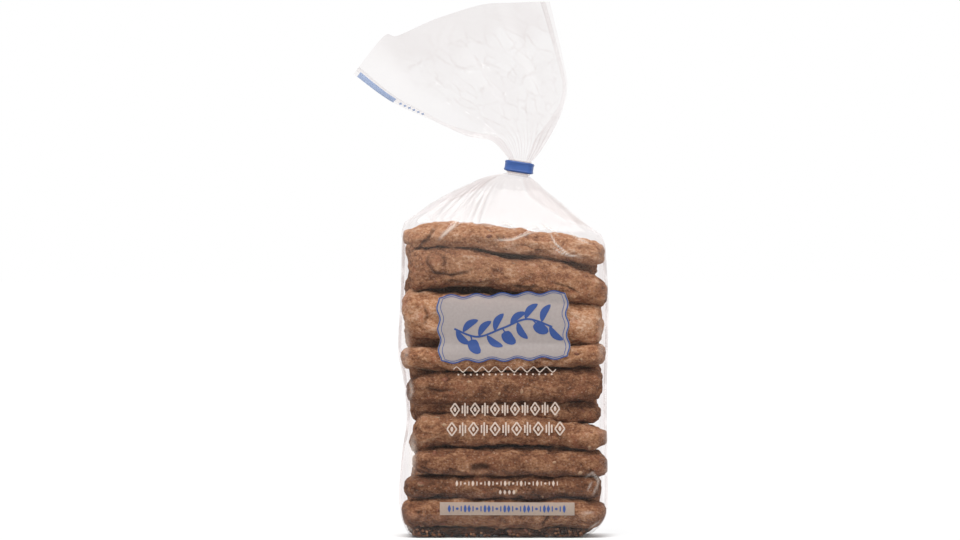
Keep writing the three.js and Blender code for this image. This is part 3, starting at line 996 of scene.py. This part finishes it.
def fan_skin(side, layer, t):
    """A point of the film of the fan, how double it is and how crumpled."""
    x, z = fan_place(side, t)
    y = fan_depth(side, layer, t)
    seed = 10.0 if layer < 0 else 20.0
    # The crumpling is strongest half way up, and the flap, the edges and the mouth lie smooth.
    loose = smoothstep(0.0, 0.25, t) * (1 - 0.7 * smoothstep(0.78, 0.95, t))
    loose *= smoothstep(-0.85, -0.4, side) * (1 - 0.7 * side**8)
    wander = side + 0.03 * noise.noise(Vector((side * 6, t * 2, seed)))
    pleat = (0.5 - abs(math.sin(math.pi * FAN_PLEATS * wander)) ** 0.7) * smoothstep(0.5, 0.05, t)
    height = crumpled(side * 60, t * FAN_FILM_HEIGHT, seed) - 0.45
    y += math.copysign(1, layer) * (1.3 * loose * height + pleat * 0.8 * smoothstep(0.0, 0.06, t))
    gathered = 0.4 * smoothstep(0.35, 0.0, t) * max(0.0, pleat + 0.3)
    # The film is a little darker in soft blotches, most of all in a ragged band along the mouth.
    blotch = noise.fractal(Vector((side * 3.5, t * 5, seed)), 0.8, 2.1, 2)
    mouth = smoothstep(0.72, 0.9, t + 0.09 * blotch) * smoothstep(-1.0, -0.5, side)
    soft = lerp(0.01, 0.14, mouth) + 0.05 * blotch - 0.03 * smoothstep(0.5, 1.2, side + 1 - t)
    soft *= 1 - 0.9 * side**8  # the folded gusset already lies over itself at the edges
    return Vector((x, y, z)), max(0.0, gathered, soft), loose


def fan_film():
    """The film from the clip out to the mouth of the bag."""
    bm = film_grid(FAN_ROWS, FAN_FILM_HEIGHT)
    double, crumple = float_layers(bm, "double", "crumple")
    for vert in bm.verts:
        t = vert.co.y + 0.5
        side, layer = around(vert.co.x + 0.5)
        if abs(side) > 0.9999:
            # The gusset is folded in between the panels at the clip, and pulled open further up.
            side *= 1 - lerp(0.5, 0.05, smoothstep(0, 0.45, t)) * (1 - abs(layer))
        if layer > 0:
            side *= 1 - 0.04 * t
        vert.co, vert[double], vert[crumple] = fan_skin(side, layer, t)
    bmesh.ops.remove_doubles(bm, verts=bm.verts, dist=0.01)
    return bm


def neck_pleats():
    """The film gathered in the clip: it runs to and fro in close pleats, milky from being crushed."""
    bm = film_grid(PLEAT_ROWS, PLEAT_HIGH - PLEAT_LOW)
    crease, double = float_layers(bm, "crease", "double")
    for vert in bm.verts:
        across, up = vert.co.x + 0.5, vert.co.y + 0.5
        uneven = 0.3 * noise.noise(Vector((across * 7, up * 1.2, 0)))
        deep = PLEAT_SPREAD * math.sin(math.tau * (PLEATS * across + uneven))
        side = lerp(-PLEAT_SPREAD, PLEAT_SPREAD, across)
        vert.co = neck_point(side, deep, lerp(PLEAT_LOW, PLEAT_HIGH, up))
        vert[crease], vert[double] = PLEAT_CREASE, PLEAT_DOUBLE
    return bm


# ---- The print --------------------------------------------------------------------------------

# How wide a stroke is along its length, as a share of its full width.
TAPERS = {
    "bar": lambda t: 1.0,
    "lozenge": lambda t: 1 - abs(2 * t - 1),
    "leaf": lambda t: math.sin(math.pi * t) ** 0.85,
    "almond": lambda t: max(math.sin(math.pi * t**0.75), 0.0) ** 0.6,
    "dot": lambda t: math.sqrt(max(1 - (2 * t - 1) ** 2, 0.0)),
}

PANEL_MIDDLE, PANEL_TURN = (-0.5, 120.9), 2.2
STRIP_LEFT, STRIP_RIGHT, STRIP_HEIGHT = (-36.8, 17), (40.3, 16.8), 7.4
UNDER_PRINT, OVER_PRINT = 0.22, 0.34  # how far the first and the second layer of ink lie off the film
RIM_STEPS = 20  # from the middle of a side of the panel to its corner

# The bar on the fan and the lozenges next to it: across the fan, and up it.
BAR_SIDES, BAR_SHARES = (-0.998, -0.945), (0.73, 0.975)
LOZENGE_SIDES, LOZENGE_START, LOZENGE_STEP, LOZENGE_LONG = (-0.988, -0.95), 0.55, 0.027, 0.018


def stroke(bm, surface, points, width, kind="bar", cell=1.0):
    """Lays a stroke of ink on a surface, along a smooth line through these (x, z) points."""
    length = sum(math.dist(a, b) for a, b in zip(points, points[1:]))
    taper = TAPERS[kind]

    def place(u, v):
        here = spline(points, u)
        back = spline(points, u - 0.01)
        ahead = spline(points, u + 0.01)
        run = math.dist(back, ahead)
        off = (v - 0.5) * width * taper(u) / run
        return surface(here[0] - (ahead[1] - back[1]) * off, here[1] + (ahead[0] - back[0]) * off)

    patch(bm, max(4, round(length / cell)), max(1, round(width / cell)), place)


def upright(bm, surface, x, z, height, width, kind="bar"):
    stroke(bm, surface, [(x, z - height / 2), (x, z + height / 2)], width, kind, 0.5)


def panel_point(a, b):
    """The (x, z) of a point of the label panel, in millimetres from its middle."""
    cos, sin = heading(PANEL_TURN)
    return PANEL_MIDDLE[0] + a * cos - b * sin, PANEL_MIDDLE[1] + a * sin + b * cos


def panel_edge(u, v, half_width, half_height):
    """A point of the panel where u and v run from -1 to 1 and its edges are softly waved."""
    wave_u = 0.8 * math.cos(3 * math.pi * v)
    wave_v = 0.9 * math.cos(5 * math.pi * u)
    return panel_point(u * (half_width + wave_u), v * (half_height + wave_v))


def panel_rim(share, half_width, half_height):
    """A closed line round the panel, drawn in to this share of its size."""
    steps = [i / RIM_STEPS for i in range(-RIM_STEPS, RIM_STEPS)]
    # Each side is the one before it, a quarter turn on.
    turns = (1, 0), (0, 1), (-1, 0), (0, -1)
    sides = [(step * cos + sin, cos - step * sin) for cos, sin in turns for step in steps]
    return [panel_edge(u * share, v * share, half_width, half_height) for u, v in sides + [sides[0]]]


SPRIG_STEM = [(-28, 0), (-15, -5), (0, -0.5), (14, 4), (28, -1)]
SPRIG_COUNT = 13  # leaves and nuts on the stem


def almond_sprig(bm, surface):
    """A sprig of almond leaves and nuts in bold strokes, in the middle of the panel."""

    def on_panel(points):
        return [panel_point(*point) for point in points]

    stroke(bm, surface, on_panel(SPRIG_STEM), 1.1)
    for i in range(SPRIG_COUNT):
        t = (i + 0.4) / SPRIG_COUNT
        x, y = spline(SPRIG_STEM, t)
        side = 1 if i % 2 else -1
        lean = 62 - 14 * math.sin(i * 2.1)
        kind, length, width = ("almond", 9.5, 6.4) if i % 4 == 2 else ("leaf", 11.5, 4.0)
        step = heading(side * lean)
        tip = heading(side * (lean - 28))
        start = 2.2 if kind == "almond" else 0.4
        root = (x + step[0] * start, y + step[1] * start)
        middle = (root[0] + step[0] * length / 2, root[1] + step[1] * length / 2)
        end = (middle[0] + tip[0] * length / 2, middle[1] + tip[1] * length / 2)
        stroke(bm, surface, on_panel([root, middle, end]), width, kind)
        if kind == "almond":
            stroke(bm, surface, on_panel([(x, y), root]), 0.8)


def lozenge_border(bm, surface, left, right, height, count):
    """A row of open lozenges with a seed in each, and upright bars between them."""
    half = (right[0] - left[0]) / count / 2
    for i in range(count):
        x, z = (lerp(a, b, (i + 0.5) / count) for a, b in zip(left, right))
        if i % 2:
            for off, share in ((-0.5, 0.6), (0, 1), (0.5, 0.6)):
                upright(bm, surface, x + off * half, z, height * share, 0.9)
            continue
        corners = [(x - half * 0.9, z), (x, z + height / 2), (x + half * 0.9, z), (x, z - height / 2)]
        for a, b in zip(corners, corners[1:] + corners[:1]):
            stroke(bm, surface, [a, b], 0.85)
        upright(bm, surface, x, z, height * 0.4, 1.6, "leaf")


def mark_row(bm, surface, left, right, count, marks):
    """A row of small marks, each a kind, a height and a width, that repeat from left to right."""
    for i in range(count):
        x, z = (lerp(a, b, (i + 0.5) / count) for a, b in zip(left, right))
        kind, height, width = marks[i % len(marks)]
        upright(bm, surface, x, z, height, width, kind)


def white_lines(bm, surface):
    """The light print on the bare film, from the panel down."""
    wave = [(lerp(-29, 29.6, i / 32), 96.6 + 1.5 * math.sin(i * math.pi / 2)) for i in range(33)]
    stroke(bm, surface, wave, 0.55, cell=0.6)
    mark_row(bm, surface, (-28, 93.6), (29, 93.9), 16, [("dot", 1.1, 1.1)])
    lozenge_border(bm, surface, (-31, 73.6), (32, 74.2), 7.4, 11)
    lozenge_border(bm, surface, (-33, 62.4), (35, 62.8), 7.6, 11)
    mark_row(
        bm, surface, (-28.2, 31.4), (31.6, 31.4), 26,
        [("lozenge", 3.4, 1.7), ("bar", 2.2, 0.6), ("dot", 1.3, 1.3), ("bar", 2.2, 0.6)],
    )
    mark_row(bm, surface, (-3.5, 26.4), (6.9, 26.4), 4, [("lozenge", 2.8, 1.7)])


def fan_patch(bm, sides, shares, columns, kind="bar"):
    """Lays a strip of ink on the front film of the fan, between these sides and shares up it."""

    def place(u, v):
        side = lerp(*sides, 0.5 + (v - 0.5) * TAPERS[kind](u))
        return fan_skin(side, -1, lerp(*shares, u))[0] + Vector((0, -0.3, 0))

    patch(bm, columns, 3, place)


# ---- The clip band ----------------------------------------------------------------------------

STRIP_THICK, STRIP_GAP, STRIP_OVERLAP, WIRE_BULGE = 0.9, 0.3, 4.5, 0.35
WIRE_INSET, WIRE_WIDTH = 0.75, 0.42  # from the strip's edge to the wire, and the width of its bulge
FLAT_STEPS, TURN_STEPS = 8, 12  # points of the strip's line on a flat side and on a turn
STRIP_CELLS = 110, 32  # along the strip and round its section


def strip_line():
    """The line that the strip follows, seen from above: once round the neck and on behind its end."""
    out = STRIP_GAP + STRIP_THICK / 2 + WIRE_BULGE
    half_y = NECK_HALF_DEPTH + out
    straight = NECK_HALF_WIDTH - NECK_HALF_DEPTH
    lap = STRIP_THICK + 2 * WIRE_BULGE + STRIP_GAP
    line = [(lerp(STRIP_OVERLAP, -straight, i / FLAT_STEPS), half_y) for i in range(FLAT_STEPS)]
    for i in range(TURN_STEPS):
        turn = math.pi * i / TURN_STEPS
        line.append((-straight - half_y * math.sin(turn), half_y * math.cos(turn)))
    line += [(lerp(-straight, straight, i / FLAT_STEPS), -half_y) for i in range(FLAT_STEPS)]
    for i in range(TURN_STEPS):
        turn = math.pi * i / TURN_STEPS
        back = lerp(half_y, half_y + lap, i / TURN_STEPS)
        line.append((straight + half_y * math.sin(turn), -back * math.cos(turn)))
    behind = half_y + lap
    line += [(lerp(straight, -STRIP_OVERLAP, i / FLAT_STEPS), behind) for i in range(FLAT_STEPS + 1)]
    return line


def strip_mesh(height):
    """The band as a flat tube round its line, with a wire along each long edge."""
    bm = bmesh.new()
    rim_shade = bm.verts.layers.float.new("rim_shade")
    line = EvenLine(strip_line())
    bmesh.ops.create_grid(bm, x_segments=STRIP_CELLS[0], y_segments=STRIP_CELLS[1], size=0.5)
    for vert in bm.verts:
        u, v = vert.co.x + 0.5, vert.co.y + 0.5
        here = line.at(u)
        back, ahead = line.at(max(u - 0.005, 0)), line.at(min(u + 0.005, 1))
        run = math.dist(back, ahead)
        sin, cos = math.sin(math.tau * v), math.cos(math.tau * v)
        rise = math.copysign(abs(sin) ** 0.45, sin) * height / 2
        wire = math.exp(-(((abs(rise) - height / 2 + WIRE_INSET) / WIRE_WIDTH) ** 2))
        thick = math.copysign(abs(cos) ** 0.35, cos) * (STRIP_THICK / 2 + WIRE_BULGE * wire)
        off = thick / run
        x = here[0] - (ahead[1] - back[1]) * off
        y = here[1] + (ahead[0] - back[0]) * off
        shrink = 1 - 0.1 * smoothstep(NECK_HALF_WIDTH - 1, NECK_HALF_WIDTH + 2, abs(x))
        vert.co = (x, y, rise * shrink)
        # The band's top rim is marked for painted shade.
        vert[rim_shade] = smoothstep(height / 2 - 0.55, height / 2 - 0.15, rise)
    bmesh.ops.remove_doubles(bm, verts=bm.verts, dist=0.005)
    bmesh.ops.holes_fill(bm, edges=[e for e in bm.edges if e.is_boundary], sides=0)
    bmesh.ops.recalc_face_normals(bm, faces=bm.faces)
    turn = Matrix.Rotation(math.radians(NECK_LEAN), 4, "Y")
    bmesh.ops.transform(bm, matrix=Matrix.Translation((NECK_X, 0, NECK_Z)) @ turn, verts=bm.verts)
    return bm


# ---- What a user can change -------------------------------------------------------------------


def length(name, description, size):
    return bpy.props.FloatProperty(
        name=name, description=description, default=size * MM, min=0, unit="LENGTH", precision=4
    )


def colour(name, description, code):
    return bpy.props.FloatVectorProperty(
        name=name, description=description, default=linear(code), size=4, min=0, max=1, subtype="COLOR"
    )


class BAG_PG_sizes(bpy.types.PropertyGroup):
    half_depth: length("Half depth", "Half the depth of the filled bag between the bulges", HALF_DEPTH)
    bulge: length("Bulge", "How far a stick pushes the film out", BULGE)
    corner: length("Corner", "Radius of the bag's upright edges", 9)
    stick_depth: length("Stick depth", "Front-to-back size of a stick", 26.5)
    panel_width: length("Panel width", "Width of the label panel", 74.5)
    panel_height: length("Panel height", "Height of the label panel", 38)
    clip_height: length("Clip height", "Height of the clip band", 6.4)
    crumbs: bpy.props.IntProperty(name="Crumbs", description="Number of loose crumbs", default=340, min=0)
    front_almonds: bpy.props.IntProperty(
        name="Almonds, front", description="Almond pieces in a stick of the front row", default=9, min=0
    )
    back_almonds: bpy.props.IntProperty(
        name="Almonds, back", description="Almond pieces in a stick of the back row", default=8, min=0
    )


class BAG_PG_colours(bpy.types.PropertyGroup):
    # This colour is also painted shade: the breaks in the crust are drawn in it.
    crust_deep: colour("Crumb", "The dark crumb in cracks and pores", "#3F2415")
    crust_dark: colour("Crust, dark", "Browned dough", "#784D34")
    crust: colour("Crust", "The dough", "#9F7454")
    crust_pale: colour("Crust, pale", "Floury dough and almond meal", "#C5AA95")
    crust_red: colour("Crust, red", "Dough whose sugar has browned", "#874E36")
    almond: colour("Almond", "Cut almond", "#AC8A6B")
    almond_skin: colour("Almond skin", "The skin of an almond", "#7B4A34")
    film: colour("Film", "Tint of one layer of the clear film", "#FEFDFD")
    film_double: colour("Film, double", "Tint of the film where it lies double", "#E9E2E1")
    # Partly the stress whitening of a crease and partly painted highlight on it.
    milk_and_glare: colour("Film, creased", "The milky white of a sharp crease", "#F6EADF")
    crushed: colour("Film, crushed", "The white of the film crushed in the clip", "#F8F6FA")
    panel: colour("Panel", "The pale ink of the label panel", "#AFA5A2")
    base_strip: colour("Base strip", "The thin ink of the strip near the base", "#AC9B8E")
    white_ink: colour("White ink", "The light print on bare film", "#D9C6B8")
    blue_ink: colour("Blue ink", "The dark blue print", "#34508F")
    pale_blue_ink: colour("Pale blue ink", "The bar on the fan", "#97A9CB")
    strip: colour("Strip", "The clip band", "#3F63A8")
    strip_dark: colour("Strip, dark", "The clip band in its drawn lines", "#365797")
    # Painted shade along the top edge of the clip band.
    strip_rim_shade: colour("Strip, rim", "The top edge of the clip band", "#2B3F73")


class BAG_OT_sticks(bpy.types.Operator):
    """Makes the two rows of biscuit sticks"""

    bl_idname = "biscuit_bag.sticks"
    bl_label = "Biscuit sticks"

    def execute(self, context):
        sizes = context.scene.biscuit_bag_sizes
        dough = baked_dough(context.scene.biscuit_bag_colours)
        cells = ((150, 28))
        for form in all_sticks(BagForm(sizes), sizes.stick_depth / MM):
            finish_mesh(stick_mesh(form, *cells), form.name, dough, "biscuit", "bag")
        return {"FINISHED"}


class BAG_OT_almonds(bpy.types.Operator):
    """Makes the chopped almonds in the crust"""

    bl_idname = "biscuit_bag.almonds"
    bl_label = "Chopped almonds"

    def execute(self, context):
        sizes = context.scene.biscuit_bag_sizes
        almond = chopped_almond(context.scene.biscuit_bag_colours)
        bag = BagForm(sizes)
        sticks = all_sticks(bag, sizes.stick_depth / MM)
        bits = almond_bits(bag, sticks, sizes.front_almonds, sizes.back_almonds)
        finish_mesh(bits, "almond_bits", almond, "almond", "bag")
        return {"FINISHED"}


class BAG_OT_crumbs(bpy.types.Operator):
    """Makes the loose crumbs at the bottom of the bag"""

    bl_idname = "biscuit_bag.crumbs"
    bl_label = "Crumbs"

    def execute(self, context):
        sizes = context.scene.biscuit_bag_sizes
        dough = baked_dough(context.scene.biscuit_bag_colours)
        dough.name = "crumbled_almond_dough"
        finish_mesh(loose_crumbs(BagForm(sizes), sizes.crumbs), "crumbs", dough, "biscuit", "bag")
        return {"FINISHED"}


class BAG_OT_film(bpy.types.Operator):
    """Makes the clear film of the bag"""

    bl_idname = "biscuit_bag.film"
    bl_label = "Clear film"

    def execute(self, context):
        colours = context.scene.biscuit_bag_colours
        film = polypropylene_film("clear_polypropylene_film", colours, colours.milk_and_glare)
        crushed = polypropylene_film("crushed_polypropylene_film", colours, colours.crushed)
        bag = BagForm(context.scene.biscuit_bag_sizes)
        finish_mesh(body_film(bag), "bag_film", film, "film", "bag")
        finish_mesh(fan_film(), "fan_film", film, "film", "bag")
        finish_mesh(neck_pleats(), "gathered_film", crushed, "film", "bag")
        return {"FINISHED"}


class BAG_OT_print(bpy.types.Operator):
    """Makes the print on the film: a label panel with a sprig, light borders, and pale strips"""

    bl_idname = "biscuit_bag.print"
    bl_label = "Print"

    def execute(self, context):
        sizes = context.scene.biscuit_bag_sizes
        colours = context.scene.biscuit_bag_colours
        bag = BagForm(sizes)
        pale = printing_ink("pale_flexo_ink", colours.panel, 0.9)
        thin = printing_ink("thin_flexo_ink", colours.base_strip, 0.88)
        white = printing_ink("white_flexo_ink", colours.white_ink, 0.85)
        blue = printing_ink("blue_flexo_ink", colours.blue_ink, 1.0)
        washed = printing_ink("pale_blue_flexo_ink", colours.pale_blue_ink, 0.95)
        half_width = sizes.panel_width / MM / 2
        half_height = sizes.panel_height / MM / 2

        def under(x, z):
            return bag.front_film(x, z, UNDER_PRINT)

        def over(x, z):
            return bag.front_film(x, z, OVER_PRINT)

        bm = bmesh.new()
        patch(bm, 76, 40, lambda u, v: under(*panel_edge(2 * u - 1, 2 * v - 1, half_width, half_height)))
        finish_mesh(bm, "label_panel", pale, "white_print")

        bm = bmesh.new()
        stroke(bm, over, panel_rim(0.985, half_width, half_height), 0.7)
        stroke(bm, over, panel_rim(0.93, half_width, half_height), 0.35)
        almond_sprig(bm, over)
        finish_mesh(bm, "label_sprig", blue, "blue_print")

        bm = bmesh.new()
        white_lines(bm, under)
        finish_mesh(bm, "white_borders", white, "white_print")

        bm = bmesh.new()
        stroke(bm, under, [STRIP_LEFT, STRIP_RIGHT], STRIP_HEIGHT)
        finish_mesh(bm, "base_strip", thin, "white_print")

        bm = bmesh.new()
        marks = [("lozenge", 4.4, 2), ("bar", 3, 0.7), ("dot", 1.6, 1.6), ("bar", 3, 0.7), ("leaf", 4.4, 1.6)]
        mark_row(bm, over, (-32.5, 17), (35.5, 16.8), 30, marks)
        finish_mesh(bm, "base_strip_marks", blue, "blue_print")

        bm = bmesh.new()
        fan_patch(bm, BAR_SIDES, BAR_SHARES, 30)
        for i in range(6):
            start = LOZENGE_START + LOZENGE_STEP * i
            fan_patch(bm, LOZENGE_SIDES, (start, start + LOZENGE_LONG), 6, "lozenge")
        finish_mesh(bm, "fan_bar", washed, "blue_print")
        return {"FINISHED"}


class BAG_OT_clip(bpy.types.Operator):
    """Makes the clip band round the neck"""

    bl_idname = "biscuit_bag.clip"
    bl_label = "Clip band"

    def execute(self, context):
        plastic = strip_plastic(context.scene.biscuit_bag_colours)
        height = context.scene.biscuit_bag_sizes.clip_height / MM
        finish_mesh(strip_mesh(height), "clip_strip", plastic, "clip", "clip_band")
        return {"FINISHED"}


class BAG_OT_stage(bpy.types.Operator):
    """Sets the floor, the lights and the camera"""

    bl_idname = "biscuit_bag.stage"
    bl_label = "Stage"

    CAMERA_AWAY, VIEW_WIDTH = 3.0, 0.5544
    CAMERA_X, CAMERA_Z = -0.0138, 0.1535

    def execute(self, context):
        scene = context.scene
        scene.view_settings.view_transform = "Standard"
        self.lay_floor(scene)
        self.light_room(scene)
        sun = bpy.data.lights.new("overhead", "SUN")
        sun.energy = 2.4
        sun.angle = math.radians(45)
        overhead = bpy.data.objects.new("overhead", sun)
        overhead.rotation_euler = (math.radians(35), 0, math.radians(-8))
        scene.collection.objects.link(overhead)

        camera = bpy.data.cameras.new("camera")
        camera.sensor_width = 36
        camera.lens = camera.sensor_width * self.CAMERA_AWAY / self.VIEW_WIDTH
        eye = bpy.data.objects.new("camera", camera)
        eye.location = (self.CAMERA_X, -self.CAMERA_AWAY, self.CAMERA_Z)
        eye.rotation_euler = (math.pi / 2, 0, 0)
        scene.collection.objects.link(eye)
        scene.camera = eye
        return {"FINISHED"}

    def lay_floor(self, scene):
        """A white paper floor. In the film's gloss it darkens towards the front, as the room does."""
        bm = bmesh.new()
        bmesh.ops.create_grid(bm, x_segments=1, y_segments=1, size=60)
        bmesh.ops.translate(bm, vec=(0, 0, -0.1 * MM), verts=bm.verts)
        mesh = bpy.data.meshes.new("floor")
        bm.to_mesh(mesh)
        bm.free()
        floor = bpy.data.objects.new("floor", mesh)
        scene.collection.objects.link(floor)
        material, add, place = new_material("white_paper_floor")
        depth = add("SeparateXYZ", {0: place})["Y"]
        fading = {"Value": depth, "From Min": -0.25, "From Max": 0.1, "To Min": 0.1, "To Max": 0.93}
        falloff = add("MapRange", fading)[0]
        rays = add("LightPath")
        seen = add("Mix", {0: rays["Is Diffuse Ray"], 2: 0.93, 3: 0.5})[0]
        shade = add("Mix", {0: rays["Is Glossy Ray"], 2: seen, 3: falloff})[0]
        paper = add("BsdfDiffuse", {"Color": shade})[0]
        # The paper is lit from below as well, so that only a faint shadow is left on it, except under
        # the bag and close round it.
        lit = add("Emission", {"Color": (1, 1, 1, 1)})[0]
        mirrored = add("VectorMath", {0: place}, operation="ABSOLUTE")[0]
        footprint = (CAD_BOX[1][0], CAD_BOX[1][1], 0)
        beside = add("VectorMath", {0: mirrored, 1: footprint}, operation="SUBTRACT")[0]
        beyond = add("VectorMath", {0: beside}, operation="MAXIMUM")[0]
        away = add("VectorMath", {0: beyond}, operation="LENGTH")["Value"]
        lamp = add("MapRange", {"Value": away, "From Max": 8 * MM, "To Max": 0.85})[0]
        below = add("Math", {0: rays["Is Camera Ray"], 1: lamp}, operation="MULTIPLY")[0]
        add("OutputMaterial", {"Surface": add("MixShader", {0: below, 1: paper, 2: lit})[0]})
        mesh.materials.append(material)

    def light_room(self, scene):
        """A white room lit from above, which the film's gloss sees as dark towards the front."""
        world = bpy.data.worlds.new("studio")
        world.use_nodes = True
        world.node_tree.nodes.clear()
        add = partial(add_node, world.node_tree)
        way = add("SeparateXYZ", {0: add("TexCoord")["Generated"]})
        lamps = add("MapRange", {"Value": way["Z"], "From Min": -0.2, "To Min": 0.3})[0]
        facing = {"Value": way["Y"], "From Min": -0.9, "From Max": 0, "To Min": 0.1}
        room = add("MapRange", facing, interpolation_type="SMOOTHSTEP")[0]
        rays = add("LightPath")
        lit = add("Mix", {0: rays["Is Glossy Ray"], 2: lamps, 3: room})[0]
        glow = add("Mix", {0: rays["Is Camera Ray"], 2: lit, 3: 1.0})[0]
        add("OutputWorld", {"Surface": add("Background", {"Color": (1, 1, 1, 1), "Strength": glow})[0]})
        scene.world = world


OPERATORS = (
    BAG_OT_sticks, BAG_OT_almonds, BAG_OT_crumbs, BAG_OT_film, BAG_OT_print, BAG_OT_clip, BAG_OT_stage,
)


class BAG_PT_panel(bpy.types.Panel):
    """Lists what makes the bag, and its sizes and colours"""

    bl_idname = "BAG_PT_panel"
    bl_label = "Biscuit Bag"
    bl_space_type = "VIEW_3D"
    bl_region_type = "UI"
    bl_category = "Biscuit Bag"

    def draw(self, context):
        for operator in OPERATORS:
            self.layout.operator(operator.bl_idname)
        for group in (context.scene.biscuit_bag_sizes, context.scene.biscuit_bag_colours):
            box = self.layout.box()
            for name in group.__annotations__:
                box.prop(group, name)


CLASSES = (BAG_PG_sizes, BAG_PG_colours, *OPERATORS, BAG_PT_panel)


def register():
    for cls in CLASSES:
        bpy.utils.register_class(cls)
    bpy.types.Scene.biscuit_bag_sizes = bpy.props.PointerProperty(type=BAG_PG_sizes)
    bpy.types.Scene.biscuit_bag_colours = bpy.props.PointerProperty(type=BAG_PG_colours)


def unregister():
    del bpy.types.Scene.biscuit_bag_colours
    del bpy.types.Scene.biscuit_bag_sizes
    for cls in reversed(CLASSES):
        bpy.utils.unregister_class(cls)


def main():
    register()
    bpy.ops.biscuit_bag.sticks()
    bpy.ops.biscuit_bag.almonds()
    bpy.ops.biscuit_bag.crumbs()
    bpy.ops.biscuit_bag.film()
    bpy.ops.biscuit_bag.print()
    bpy.ops.biscuit_bag.clip()
    bpy.ops.biscuit_bag.stage()


if __name__ == "__main__":
    main()
